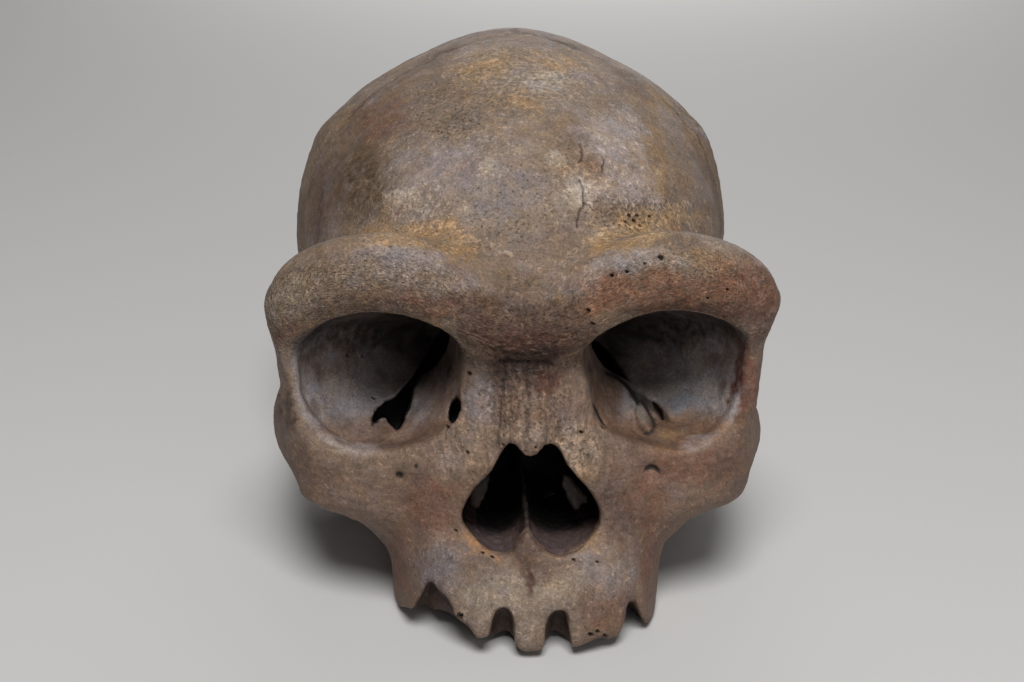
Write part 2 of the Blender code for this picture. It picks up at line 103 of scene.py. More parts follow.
def smooth_min(a, b, blend):
    """The lower of two fields, rounded over the blend distance where they meet."""
    if blend <= 0:
        return np.minimum(a, b)
    share = np.clip(0.5 + 0.5 * (b - a) / blend, 0, 1)
    return b + (a - b) * share - blend * share * (1 - share)


class Shape:
    """A solid given by its distance function, with the box that holds it."""

    def __init__(self, low, high, distance):
        self.low = np.array(low, float)
        self.high = np.array(high, float)
        self.distance = distance


class Volume:
    """Signed distance to the bone on a regular grid, negative inside it."""

    def __init__(self, low, high, step):
        self.step = step
        self.axes = [np.arange(a + step / 2, b, step, dtype=np.float32) for a, b in zip(low, high)]
        self.field = np.full([len(axis) for axis in self.axes], FAR, np.float32)

    def window(self, low, high):
        """The part of the grid inside a box: its slices, and its x, y and z for broadcasting."""
        cuts = tuple(slice(*np.searchsorted(axis, (a, b))) for axis, a, b in zip(self.axes, low, high))
        x, y, z = (axis[cut] for axis, cut in zip(self.axes, cuts))
        return cuts, (x[:, None, None], y[None, :, None], z[None, None, :])

    def around(self, shape, blend):
        reach = 2 * blend + 3 * self.step
        return self.window(shape.low - reach, shape.high + reach)

    def add(self, shape, blend):
        cuts, point = self.around(shape, blend)
        self.field[cuts] = smooth_min(self.field[cuts], shape.distance(*point), blend)

    def cut(self, shape, blend):
        cuts, point = self.around(shape, blend)
        self.field[cuts] = -smooth_min(-self.field[cuts], shape.distance(*point), blend)

    def swell(self, centre, spread, height):
        """Raises the surface near a point, or sinks it where height is negative, with a soft edge."""
        centre, spread = np.array(centre, float), np.broadcast_to(np.array(spread, float), 3)
        cuts, point = self.window(centre - 3 * spread, centre + 3 * spread)
        falloff = sum(((axis - c) / s) ** 2 for axis, c, s in zip(point, centre, spread))
        self.field[cuts] -= height * np.exp(-falloff)

    def swell_along(self, line, spread, height):
        """Raises or sinks the surface along a line, as a ridge or a groove."""
        path = tube(line, 0.0)
        cuts, point = self.window(path.low - 3 * spread, path.high + 3 * spread)
        self.field[cuts] -= height * np.exp(-((path.distance(*point) / spread) ** 2))

    def mirrored(self):
        """The whole skull from its right half."""
        whole = Volume((-HALF_HIGH[0], *HALF_LOW[1:]), HALF_HIGH, self.step)
        whole.axes[0] = np.concatenate([-self.axes[0][::-1], self.axes[0]])
        whole.field = np.concatenate([self.field[::-1], self.field])
        return whole


def ellipsoid(centre, radii, turn=(0, 0, 0)):
    """An ellipsoid, turned about x, y and z by degrees."""
    centre, radii = np.array(centre, float), np.array(radii, float)
    axes = np.array(Euler([math.radians(a) for a in turn]).to_matrix())
    reach = np.abs(axes) @ radii

    def distance(x, y, z):
        offset = (x - centre[0], y - centre[1], z - centre[2])
        local = [sum(axes[j, i] * offset[j] for j in range(3)) for i in range(3)]
        near = np.sqrt(sum((c / r) ** 2 for c, r in zip(local, radii)))
        slope = np.sqrt(sum((c / r**2) ** 2 for c, r in zip(local, radii))) + 1e-6
        return near * (near - 1) / slope

    return Shape(centre - reach, centre + reach, distance)


def smooth_line(points, spans=4):
    """Points along a Catmull-Rom curve through the given ones."""
    points = np.array(points, float)
    ends = np.concatenate([[2 * points[0] - points[1]], points, [2 * points[-1] - points[-2]]])
    made = []
    for a, b, c, d in zip(ends, ends[1:], ends[2:], ends[3:]):
        for t in np.arange(spans) / spans:
            made.append(0.5 * (2 * b + (c - a) * t + (2 * a - 5 * b + 4 * c - d) * t**2
                               + (3 * b - a - 3 * c + d) * t**3))
    return np.array(made + [points[-1]])


def tube(points, radius=None, flat=(1, 1, 1)):
    """A round bar along a smooth curve. Each point is x, y, z and, unless radius is given, its radius.
    flat squeezes the bar's section along x, y or z."""
    if radius is not None:
        points = [(*p, radius) for p in points]
    line = smooth_line(points)
    flat = np.array(flat, float)
    reach = line[:, 3:].max() * flat

    def distance(x, y, z):
        nearest = None
        for start, end in zip(line[:-1], line[1:]):
            way = (end[:3] - start[:3]) / flat
            offset = [(c - s) / f for c, s, f in zip((x, y, z), start[:3], flat)]
            along = sum(o * w for o, w in zip(offset, way)) / max(way @ way, 1e-9)
            along = np.clip(along, 0, 1)
            away = [o - along * w for o, w in zip(offset, way)]
            length = np.sqrt(sum(a * a for a in away)) + 1e-6
            slope = np.sqrt(sum((a / f) ** 2 for a, f in zip(away, flat))) / length + 1e-3
            there = (length - start[3] - along * (end[3] - start[3])) / slope
            nearest = there if nearest is None else np.minimum(nearest, there)
        return nearest

    return Shape(line[:, :3].min(0) - reach, line[:, :3].max(0) + reach, distance)


def line_distance(u, v, line):
    """Distance in a plane to the line through the given points."""
    nearest = math.inf
    for (u0, v0), (u1, v1) in zip(line[:-1], line[1:]):
        du, dv = u1 - u0, v1 - v0
        along = np.clip(((u - u0) * du + (v - v0) * dv) / max(du * du + dv * dv, 1e-9), 0, 1)
        nearest = np.minimum(nearest, np.hypot(u - u0 - along * du, v - v0 - along * dv))
    return nearest


def outline_distance(u, v, outline):
    """Signed distance in a plane to a closed outline, negative inside."""
    inside = np.zeros(np.broadcast(u, v).shape, bool)
    nearest = np.full(inside.shape, np.inf)
    for (u0, v0), (u1, v1) in zip(outline, np.roll(outline, -1, axis=0)):
        du, dv = u1 - u0, v1 - v0
        along = np.clip(((u - u0) * du + (v - v0) * dv) / max(du * du + dv * dv, 1e-9), 0, 1)
        nearest = np.minimum(nearest, (u - u0 - along * du) ** 2 + (v - v0 - along * dv) ** 2)
        crosses = ((v0 <= v) & (v < v1)) | ((v1 <= v) & (v < v0))
        inside ^= crosses & (u < u0 + (v - v0) * du / (dv if dv else 1e-9))
    return np.where(inside, -1, 1) * np.sqrt(nearest)


def mixed(a, b, share):
    return a + (b - a) * share


# The braincase


def braincase(bone):
    """The vault, built from the masses that bulge it."""
    bone.add(ellipsoid((0, 121, VAULT_TOP - 68.5), (VAULT_HALF_WIDTH, 90, 68.5)), 10)
    bone.add(ellipsoid((0, 73, 50), (62.5, 56, 46)), 10)
    bone.add(ellipsoid((0, 160, 24), (62, VAULT_BACK - 160, 40)), 10)
    bone.add(ellipsoid((0, 140, 4), (54, 52, 26), (-6, 0, 0)), 12)
    bone.add(ellipsoid((26, 80, 12), (31, 34, 30)), 10)


def vault_relief(bone):
    """What makes the vault a low tent: flat slopes beside a keel, bosses at the sides, and faint lines."""
    bone.swell((32, 114, 106), (20, 44, 18), -1.7)
    bone.swell((0, 98, 118), (10, 40, 12), 0.8)
    bone.swell((64, 116, 80), (14, 32, 18), 1.5)
    bone.swell((34, 178, 84), (26, 30, 26), -1.6)
    bone.swell((0, 44, 90), (30, 18, 18), 1.5)
    bone.swell((0, 178, 94), (40, 18, 18), -1.2)
    bone.swell_along([(60, 26, 52), (55, 42, 68), (58, 66, 81), (64, 96, 85), (66, 126, 83), (63, 150, 74),
                      (62, 166, 54), (64, 160, 32)], 7, 0.8)
    bone.swell((50, 42, 42), (12, 14, 22), -3.0)


def back_ridge(bone):
    """The blunt ridge across the back, with a hollow over it and the flatter neck plane under it."""
    bone.swell_along([(0, VAULT_BACK - 2, 22), (25, 204, 23), (45, 189, 21), (60, 164, 18)], 9, 3.6)
    bone.swell_along([(0, 206, 44), (25, 202, 44), (45, 188, 42)], 10, -1.2)
    bone.swell((0, 186, -14), (3, 24, 14), 1.4)
    bone.swell((24, 182, -10), (15, 14, 12), -1.6)


BROW_LINE = [
    (0, 11.5, 34.8, 9.6), (8, 11, 36.2, 9.9), (16, 10, 40, 10.2), (27, 10, 46.5, 10.8), (38, 10.5, 50, 11.0),
    (49, 12.5, 49, 10.5), (59, 16, 44.5, 10.2), (BROW_HALF_WIDTH - 9, 20.5, 39.5, 9.3)]


def brow_ridge(bone):
    """The bar over the eye sockets, one arch a side, with a heavy outer end, and the shelf behind it."""
    bone.add(ellipsoid((50, 30, 46), (17, 19, 10), (-4, 0, 0)), 10)
    bone.add(ellipsoid((0, 24, 46), (46, 15, 13)), 10)
    bone.add(tube(BROW_LINE), 8)
    bone.add(ellipsoid((61, 24, 35), (9, 9, 11)), 6)


FACE_OUTLINE = [
    (-2, 30), (16, 32), (21, 14), (27, 7), (57, 6), (61, 11), (67, 11), (69, 0), (68.3, -9), (66.5, -17.5),
    (60.5, -23.5), (47, -28.8), (39.5, -32.5), (38.5, -40), (37.5, -50), (-2, -54)]


def ramp(low, high, value):
    """0 at low and 1 at high, easing in and out between them. low may be the greater of the two."""
    share = np.clip((value - low) / (high - low), 0, 1)
    return share * share * (3 - 2 * share)


def face_front(x, z):
    """How far back the front of the face lies: a flat wedge at the cheeks, a curved wall at the gums."""
    x = np.abs(x)
    cheek = 3.2 + 0.25 * x + 0.012 * np.maximum(x - 45, 0) ** 2 + 0.22 * np.maximum(z + 5, 0)
    gum = 0.5 + 26 * (x / 38) ** 3.2
    return mixed(gum, cheek, ramp(-44, -18, z))


def face_plate(bone):
    """The middle of the face as a plate with its own outline, from the nose out to the cheekbones."""
    thick = 12.0

    def distance(x, y, z):
        section = outline_distance(x[:, 0, :], z[:, 0, :], FACE_OUTLINE)[:, None, :]
        front = face_front(x, z)
        depth = np.abs(y - front - thick / 2) - thick / 2
        return smooth_max(section, 0.92 * depth, 4)

    bone.add(Shape((-2, 0, -56), (72, 52, 34), distance), 6)


def face_relief(bone):
    """The groove below each eye socket, and the swellings of the cheekbone and over the tooth roots."""
    bone.swell_along([(36, 11.5, -9), (36.5, 12.5, -18), (35, 13, -28)], 4.5, -1.4)
    bone.swell((54, 18, -13), (10, 10, 7), 0.9)
    bone.swell_along([(22, 6, -30), (23.5, 7, -46)], 3.5, 1.0)
    bone.swell_along([(9, 1.5, -35), (9.5, 1, -46)], 3, 0.6)


def cheek_frame(bone):
    """The rim below and outside the eye socket."""
    bone.add(tube([(19, 20, 4, 4.0), (28, 20, -4.0, 4.6), (42, 21.5, -5.5, 5.0), (56, 24.5, -3, 5.6),
                   (64.5, 26, 6, 4.8), (66.5, 26, 19, 4.2), (66.5, 24.5, 32, 5.0)]), 5)


ORBIT_RIM = [
    (ORBIT_INNER, 21), (18.2, 30), (22.5, 34.5), (30, 37.5), (40, ORBIT_TOP - 0.3), (50, 37.7), (58.5, 34),
    (63.7, 27.5), (ORBIT_OUTER, 17), (61.3, 8), (55, 1.4), (46, -1.3), (36, -0.4), (26, 2.8), (20, 9.5)]
ORBIT_CENTRE = (41, 19)
ORBIT_APEX = (23, 26)
ORBIT_NARROWING = [(-0.4, 1.08), (0, 1.0), (0.1, 1.0), (0.3, 0.90), (0.6, 0.62), (0.85, 0.34), (1, 0.12)]


def orbit(margin=0.0):
    """The hollow of an eye socket, narrowing back towards its apex, with the floor rising at the inner
    side. margin makes it larger all round."""
    apex_y = 12.0 + ORBIT_DEPTH
    rim = smooth_line([*ORBIT_RIM, ORBIT_RIM[0]])[:-1] - ORBIT_CENTRE
    rim_turn = np.arctan2(rim[:, 1], rim[:, 0])
    rim_radius = np.hypot(rim[:, 0], rim[:, 1])
    inner_floor = math.radians(-135)
    bulge = 0.34

    def distance(x, y, z):
        rim_y = 10.5 + 0.2 * x - 0.15 * z
        depth = np.clip((y - rim_y) / (apex_y - rim_y), -0.4, 0.98)
        size = np.interp(depth, *np.transpose(ORBIT_NARROWING))
        out = x - mixed(ORBIT_APEX[0], ORBIT_CENTRE[0], size)
        rise = z - mixed(ORBIT_APEX[1], ORBIT_CENTRE[1], size)
        turn = np.arctan2(rise, out)
        lobe = np.maximum(np.cos(turn - inner_floor), 0) ** 2 * ramp(0, 0.5, depth)
        radius = np.interp(turn, rim_turn, rim_radius, period=2 * math.pi) * size * (1 - bulge * lobe)
        return np.maximum(0.95 * (np.hypot(out, rise) - radius), y - apex_y) - margin

    return Shape((ORBIT_INNER - 8, -12, -8), (ORBIT_OUTER + 8, apex_y + 5, ORBIT_TOP + 8), distance)


def orbit_housing(bone):
    """The thin walls behind the rim, which back the eye socket's hollow."""
    wall = 3.5
    hollow = orbit(wall)
    rim_y = 21.0

    def distance(x, y, z):
        return np.maximum(hollow.distance(x, y, z), rim_y - y)

    bone.add(Shape(hollow.low, hollow.high, distance), 5)


def nose_and_jaw(bone):
    """The nose root, the nasal bones and the mass of the upper jaw behind the face."""
    bone.add(ellipsoid((0, 34, 22), (19, 21, 26)), 5)
    bone.add(tube([(0, 17.5, 26, 7.6), (0, 14, 14, 7.4), (0, 8, 3, 7.2)]), 3.5)
    bone.add(ellipsoid((24, 38, -22), (18, 24, 22)), 6)
    bone.add(ellipsoid((0, 44, -14), (24, 28, 30)), 6)
    bone.add(ellipsoid((0, 28, -40), (29, 24, 16)), 6)
    bone.add(tube([(32, 34, -44, 5.5), (33, 32, -36, 5.5), (40, 31, -24, 6.5)]), 5)


ARCADE = [
    (0, 6.5), (10, 6.5), (19, 8.5), (26, 12.5), (30, 18.5), (31.5, 27), (32, 37), (32.5, 48), (32, 60)]
GUM_HALF_THICK = 6.3


def gum_edge(y):
    """Height of the tooth row's edge, which rises towards the back."""
    return GUM_FRONT + GUM_CURVE * y * y


def smooth_max(a, b, blend):
    return -smooth_min(-a, -b, blend)


def tooth_row(bone):
    """The curved wall of bone that held the teeth, thinner towards the nose."""
    line = smooth_line(ARCADE, 3)
    half_high, taper = 14, 2.5

    def distance(x, y, z):
        height = 0.9 * (np.abs(z - gum_edge(y) - half_high) - half_high)
        half_thick = GUM_HALF_THICK - taper * ramp(8, 28, z - gum_edge(y))
        return smooth_max(line_distance(x, y, line) - half_thick, height, 3)

    bone.add(Shape((-8, -2, GUM_FRONT - 2), (42, 68, -18), distance), 6)


def cheek_arch(bone):
    """The free bar from the cheekbone back to the ear."""
    bone.add(tube([(61, 30, -5, 10), (70, 41, -3, 8), (ARCH_HALF_WIDTH - 2.8, 56, -1, 7),
                   (ARCH_HALF_WIDTH - 3, 72, 1, 7), (71, 86, 3, 8), (66, 98, 5, 9)], flat=(0.42, 1, 1)), 5)


def ear_region(bone):
    """The root of the arch, the crest over the ear, the mastoid and the jaw joint."""
    bone.add(tube([(62, 90, 4, 8), (66, 104, 8, 8), (65, 118, 12, 7.5), (58, 134, 20, 6)]), 8)
    bone.add(ellipsoid((58, 86, 2), (13, 14, 8)), 6)
    bone.add(ellipsoid((58, 114, -12), (10.5, 14, 23.0), (8, 8, 0)), 8)
    bone.add(tube([(56, 104, -8, 8), (40, 104, -15, 10), (20, 98, -19, 9)]), 6)


def skull_base(bone):
    """The floor of the skull from the occipital condyles forward to the wings behind the palate."""
    bone.add(tube([(0, 114, -21, 9), (0, 97, -20, 10), (0, 80, -12, 13), (0, 70, -2, 13)]), 6)
    bone.add(ellipsoid((28, 68, -4), (18, 20, 12)), 8)
    bone.add(ellipsoid((0, 79, -20), (20, 13, 16)), 6)
    bone.add(ellipsoid((19, 116, -24), (6, 12, 7), (0, 0, -25)), 4)
    bone.add(tube([(14, 66, -10, 6), (16, 65, -24, 5), (19, 66, -36, 4)], flat=(0.6, 1, 1)), 4)
    bone.add(ellipsoid((26, 55, -32), (9, 10, 11)), 5)


# The hollows


NOSE_OUTLINE = [
    (0.3, -1.2), (-3.8, 2.9), (-6.3, 0.4), (-10.2, -6.1), (-15.2, -11), (-19.2, -18.5), (-18, -22.6),
    (-13, -27.3), (-9.2, -28.7), (-5.6, -27.8), (-2.9, -23.6), (-0.9, -21.5), (1.3, -24.1), (3.8, -27.4),
    (7.5, NOSE_FLOOR + 1.4), (11.7, -28.2), (16.3, -25.3), (NOSE_HALF_WIDTH, -20.5), (19.3, -16.5),
    (16.3, -10.9), (11.7, -5.5), (9.6, -1.2), (7.5, 1.6), (5.2, 1.7), (3, -0.3)]


def nose_opening():
    """The pear-shaped opening, with the spike of bone on the midline of its floor, and the wider space
    behind its thin edge."""
    outline = smooth_line([*NOSE_OUTLINE, NOSE_OUTLINE[0]], 2)[:-1]
    lip, back = 3.0, 62.0

    def distance(x, y, z):
        section = outline_distance(x[:, 0, :], z[:, 0, :], outline)[:, None, :]
        behind = ramp(0, 6, y - face_front(x, z) - lip)
        narrow = 5 * ramp(24, 60, y)
        return np.maximum(section - 1.8 * behind + narrow, y - back)

    return Shape((-24, -12, -36), (24, back, 8), distance)


def hollow_orbits(bone):
    bone.cut(orbit(), 1.2)


def nose_passages(bone):
    """The way back from the nose, down behind the palate."""
    bone.cut(tube([(6.5, 36, -13, 7.5), (6.5, 50, -18, 6.5), (6.5, 58, -24, 5.5), (7, 63, -36, 6),
                   (7.5, 66, -44, 7)]), 2)


def hollow_palate(bone):
    bone.cut(ellipsoid((0, 40, -58), (21.5, 35, 16.5), (9, 0, 0)), 4)


def ear_and_joint(bone):
    bone.cut(tube([(80, 101, -1, 4.5), (60, 101, -1, 4.5), (48, 98, -2, 3.5)]), 2)
    bone.cut(ellipsoid((56, 92, -9), (11, 6, 7)), 3)
    bone.cut(tube([(47, 104, -30, 3), (47, 118, -27, 3.5), (48, 132, -22, 3)]), 4)


def hollow_cavity(bone, vault):
    """The space for the brain, one wall thickness inside the vault and clear of the eye sockets."""
    clear = 3.0
    hollow = orbit()
    cuts, point = bone.window(hollow.low - 8, hollow.high + 8)
    space = vault + BONE_WALL
    space[cuts] = np.maximum(space[cuts], clear - hollow.distance(*point))
    bone.field = -smooth_min(-bone.field, space, 2)
    bone.cut(tube([(0, 128, -45, 15.5), (0, 131, 0, 15.5)], flat=(1, 1.15, 1)), 3)


SOCKETS = [
    (8.0, 3.5, 3.4), (17.0, 3.4, 3.4), (26.0, 4.0, 4.2), (34.5, 3.4, 4.4), (42.0, 3.4, 4.4),
    (51.5, 4.6, 4.6), (62.0, 4.6, 4.6), (71.5, 4.2, 4.4)]


def place_on_arcade(distance_along):
    """The point of the tooth row that far along it from the midline, and its direction."""
    line = smooth_line(ARCADE, 12)
    steps = np.hypot(*np.diff(line, axis=0).T)
    reached = np.concatenate([[0], np.cumsum(steps)])
    x, y = (np.interp(distance_along, reached, line[:, i]) for i in range(2))
    ahead = [np.interp(distance_along + 0.5, reached, line[:, i]) for i in range(2)]
    return x, y, math.degrees(math.atan2(ahead[1] - y, ahead[0] - x))


def tooth_sockets(bone):
    depth = 11.0
    for along, half_long, half_across in SOCKETS:
        x, y, heading = place_on_arcade(along)
        bone.cut(ellipsoid((x, y, gum_edge(y) - 1), (half_long, half_across, depth), (0, 0, heading)), 1)


BREAK_SLOPE = 0.36
GUM_MARGIN = [
    (-45, -41), (-33.4, -43.8), (-30.6, -42.4), (-27.8, -44.5), (-26.1, -43.8), (-23.1, -44.6),
    (-17.7, -48.8), (-15.8, -52.6), (-12.1, -52.1), (-5.1, -53.4), (-2.5, -56.7), (2, -56.8), (5.6, -54.2),
    (8.2, -54.8), (10.7, -56.7), (13.8, -55.5), (18.9, -52.9), (23.1, -53.3), (26.2, -51.3), (26.7, -48),
    (29.8, -48.7), (33.5, -49.6), (45, -47)]
GUM_BREAKS = [(5, [(-33, -42.6), (-31, -39), (-29.3, -35.1), (-28.2, -34.8), (-26.2, -37.8), (-24, -39.9),
                   (-22, -44.1), (-24, -60), (-33, -60)]),
              (5, [(-12.1, -52.5), (-11, -46.8), (-9.9, -44.1), (-7.3, -43.5), (-5.9, -45), (-5.1, -47.4),
                   (-4.5, -52.8), (-4.3, -64), (-12.5, -64)]),
              (5, [(3.7, -50.7), (4.9, -46.2), (6.8, -44.3), (9.4, -44.2), (10.4, -46.8), (11.2, -54),
                   (11.4, -64), (3.2, -64)]),
              (3.5, [(26.8, -47.1), (27.6, -43.2), (29.6, -41.7), (31.2, -44.7), (33.2, -48.9), (33, -60),
                     (27, -60)])]


def broken_gums(bone):
    """The worn lower edge of the gums, and the breaks that open the front tooth sockets. Both are cut
    along the slope of the worn edge, which drops towards the back."""
    margin_x, margin_z = np.transpose(GUM_MARGIN)
    deepest = 26

    def below(x, y, z):
        return 0.8 * (z + BREAK_SLOPE * y - np.interp(x, margin_x, margin_z))

    bone.cut(Shape((-42, -6, -68), (42, 46, -40), below), 1)
    for deep, outline in GUM_BREAKS:
        def opened(x, y, z, deep=deep, outline=outline):
            section = outline_distance(x + 0 * y, z + BREAK_SLOPE * y, outline)
            return np.maximum(section, y - face_front(x, z) - deep)

        points = np.array(outline)
        low, high = points.min(0), points.max(0)
        bone.cut(Shape((low[0], -8, low[1] - 3), (high[0], deepest, high[1]), opened), 0.8)


def leaned(points):
    """The slight lean that makes no skull symmetrical: a wider right side and a shifted crown."""
    x, y, z = points.T
    spread = 0.5 * (x / 75) ** 2
    crown = 1.2 * ramp(45, 118, z)
    jaw = 1.6 * ramp(8, -26, z) * ramp(70, 40, y)
    cheek = -1.6 * ramp(48, 72, x) * ramp(44, 28, z) * ramp(110, 60, y)
    return np.stack([x + spread + crown + jaw + cheek, y, z], axis=1)


def skull_field(step):
    """The bone as a field on the whole grid."""
    bone = Volume(HALF_LOW, HALF_HIGH, step)
    braincase(bone)
    vault = bone.field.copy()
    for feature in (vault_relief, back_ridge, brow_ridge, face_plate, cheek_frame, orbit_housing,
                    nose_and_jaw, tooth_row, face_relief, cheek_arch, ear_region, skull_base):
        feature(bone)
    hollow_cavity(bone, vault)
    for hollow in (hollow_orbits, nose_passages, hollow_palate, ear_and_joint, tooth_sockets):
        hollow(bone)
    whole = bone.mirrored()
    whole.cut(nose_opening(), 1.0)
    broken_gums(whole)
    return whole


# Where things lie in the photo


def view_axes():
    """The photo camera's place, and its right, up and forward directions, in the skull's own frame."""
    e, yaw = math.radians(VIEW_ELEVATION), math.radians(VIEW_YAW)
    forward = np.array([math.sin(yaw) * math.cos(e), math.cos(yaw) * math.cos(e), -math.sin(e)])
    right = np.array([math.cos(yaw), -math.sin(yaw), 0])
    up = np.cross(right, forward)
    place = np.array(VIEW_AIM) + VIEW_SHIFT[0] * right + VIEW_SHIFT[1] * up - VIEW_DISTANCE * forward
    return place, right, up, forward


def photo_pixels(points):
    """The photo pixel that each point of the leaned skull falls on."""
    place, right, up, forward = view_axes()
    away = points - place
    scale = FOCAL_PIXELS / (away @ forward)
    return PHOTO_WIDTH / 2 + scale * (away @ right), PHOTO_HEIGHT / 2 - scale * (away @ up)


def seen_at(u, v, y):
    """The point of the unleaned skull, y back from the brow, that falls on a photo pixel."""
    place, right, up, forward = view_axes()
    way = forward + (u - PHOTO_WIDTH / 2) / FOCAL_PIXELS * right - (v - PHOTO_HEIGHT / 2) / FOCAL_PIXELS * up
    there = place + way * (y - place[1]) / way[1]
    upright = there.copy()
    for _ in range(3):
        upright = upright + there - leaned(upright[None])[0]
    return upright


def seen_tube(points, radius):
    """A bar through photo pixels, each with how far back it lies there."""
    return tube([tuple(seen_at(*point)) for point in points], radius)


def seen_prism(outline, near, far):
    """What lies behind an outline in the photo's pixels, from near to far back."""
    corners = np.array([seen_at(u, v, y) for u, v in outline for y in (near, far)])

    def distance(x, y, z):
        grid = np.stack(np.broadcast_arrays(x, y, z), -1)
        u, v = photo_pixels(leaned(grid.reshape(-1, 3).astype(float)))
        across = outline_distance(u, v, outline).reshape(grid.shape[:3]) * (VIEW_DISTANCE + y) / FOCAL_PIXELS
        return np.maximum(across, np.maximum(near - y, y - far))

    return Shape(corners.min(0), corners.max(0), distance)


def oval(u, v, half_wide, half_high, turn, corners=14):
    """An oval outline in the photo's pixels, turned by degrees."""
    a = math.radians(turn)
    made = []
    for i in range(corners):
        t = 2 * math.pi * i / corners
        wide, high = half_wide * math.cos(t), half_high * math.sin(t)
        made.append((u + wide * math.cos(a) - high * math.sin(a),
                     v + wide * math.sin(a) + high * math.cos(a)))
    return made


# What is too small for the solid

LEFT_FISSURE = [
    (372, 425), (371.5, 418), (376, 409), (385, 402), (394, 399), (399, 394), (408, 384), (416, 376),
    (422, 372), (417, 380), (412, 388), (410, 399), (407, 409), (403.6, 416), (403.6, 422), (400, 429),
    (396.4, 434), (394, 429), (389, 424), (385, 417), (382, 418), (377, 423)]
LEFT_APEX = [
    (413, 378), (422, 374), (431, 370), (447, 362.5), (454.5, 355), (459, 344), (461, 330), (444, 330),
    (430, 350)]
RIGHT_APEX = [
    (590, 336), (590, 369), (608, 374.5), (616, 379), (624, 386), (628, 382), (618, 366), (606, 350)]
RIGHT_FISSURE = [(606, 373, 52), (617, 378, 50), (626, 387, 48), (632, 395, 46), (637, 404, 43)]
RIGHT_RECESS = [(632, 395, 46), (645, 402, 43), (655, 409, 38), (666, 419, 32)]
RIGHT_LOOP = [
    (640, 402, 40), (647, 411, 35), (653, 421, 28.5), (654.5, 428, 25), (650, 433, 22.5), (645, 433, 22.5)]
RIGHT_LOOP_START = [(636, 404, 39), (635, 413, 33), (638, 423, 27), (643, 430, 24)]
LEFT_TEAR_PIT = [
    (456.5, 396.5), (460, 401), (462.5, 409), (461.5, 418), (457, 424), (453, 427), (449.5, 422),
    (449.2, 415), (451, 405)]
RIGHT_TEAR_SLIT = [
    (593, 404), (595.5, 408), (600, 417), (606.5, 428.5), (603.5, 428), (598, 420), (594.5, 412)]
LEFT_CONCHA = [
    (490, 470), (489, 480), (487, 490), (482, 500), (479, 508), (474, 510), (468, 505), (470, 485)]
RIGHT_CONCHA = [
    (561, 468), (566, 474), (572, 477), (575, 483), (581, 486), (583, 492), (590, 498), (588, 504),
    (582, 503), (578, 508), (574, 511), (571, 505), (568, 500), (566, 492), (562, 488), (563, 478)]
CHEEK_SLIT = (751.6, 418, 1.9, 6.5, 2)
CHEEK_HOLES = [
    [(395.5, 475), (396.5, 472.5), (399.5, 471.6), (402.5, 473), (403, 476), (401, 478), (398, 477.5)],
    [(414, 466), (415.5, 464), (418, 465), (418, 467.5), (415.5, 468)],
    [(644.5, 471), (646, 467), (650.5, 464.8), (655.5, 465.5), (659, 468.5), (660.5, 475), (657.5, 472),
     (653.5, 469.6), (649, 469.4)]]
CHEEK_BOWLS = [(400, 481, 1.8, 3.0), (652.5, 476, 2.7, 3.3)]
NOSE_RIM = [
    (512, 442), (505, 446), (502.8, 456), (496, 466), (490.5, 476), (471.7, 498), (464, 512.8),
    (462.8, 520.5), (469.4, 531.7), (479.4, 542.8), (490.5, 549.9), (505, 552.8), (513.9, 547),
    (519.4, 536), (525.7, 528.3), (531.7, 534), (538.3, 546), (550.5, 553.9), (561.7, 555.7), (576, 551.7),
    (586, 542.8), (593.9, 531.7), (600.5, 522.8), (597.2, 515), (588.3, 501.7), (586, 494), (576, 478.3),
    (570.5, 469.4), (565, 465), (564, 458), (560.5, 452.8), (557.2, 447.2), (550.5, 445.4), (542.8, 448.3),
    (536, 457.5), (528.3, 458.8), (523, 458), (519.4, 449.4), (515, 443)]


def eye_socket_depths(skull):
    """The fissures at the back of the eye sockets and the pits of the tear ducts, which differ by side."""
    for x in (-40, 40):
        skull.add(ellipsoid((x, 50, -4), (13, 10, 11)), 3)
    skull.add(ellipsoid((-17.5, 24, 0), (5, 8, 12)), 3)
    skull.cut(seen_prism(LEFT_FISSURE, 25, 53), 0.5)
    for apex in (LEFT_APEX, RIGHT_APEX):
        skull.cut(seen_prism(apex, 44, 64), 0.8)
    skull.cut(seen_tube(RIGHT_FISSURE, 0.9), 0.6)
    skull.cut(seen_tube(RIGHT_RECESS, 1.5), 1.2)
    skull.cut(seen_tube(RIGHT_LOOP, 0.7), 0.6)
    skull.cut(seen_tube(RIGHT_LOOP_START, 0.5), 0.4)
    skull.cut(seen_prism(LEFT_TEAR_PIT, 12, 28), 0.6)
    skull.cut(seen_prism(RIGHT_TEAR_SLIT, 12, 27), 0.5)


def cheek_holes(skull):
    """The holes below the eye sockets in their shallow bowls, and the slit on the right cheekbone."""
    wall, half_deep = 11.0, 3.2
    for u, v, half_wide, half_high in CHEEK_BOWLS:
        skull.cut(ellipsoid(tuple(seen_at(u, v, wall - 0.2)), (half_wide, half_deep, half_high)), 1.0)
    for outline in CHEEK_HOLES:
        skull.cut(seen_prism(outline, 2, wall + 4), 0.5)
    skull.cut(seen_prism(oval(*CHEEK_SLIT), 10, 26), 0.4)


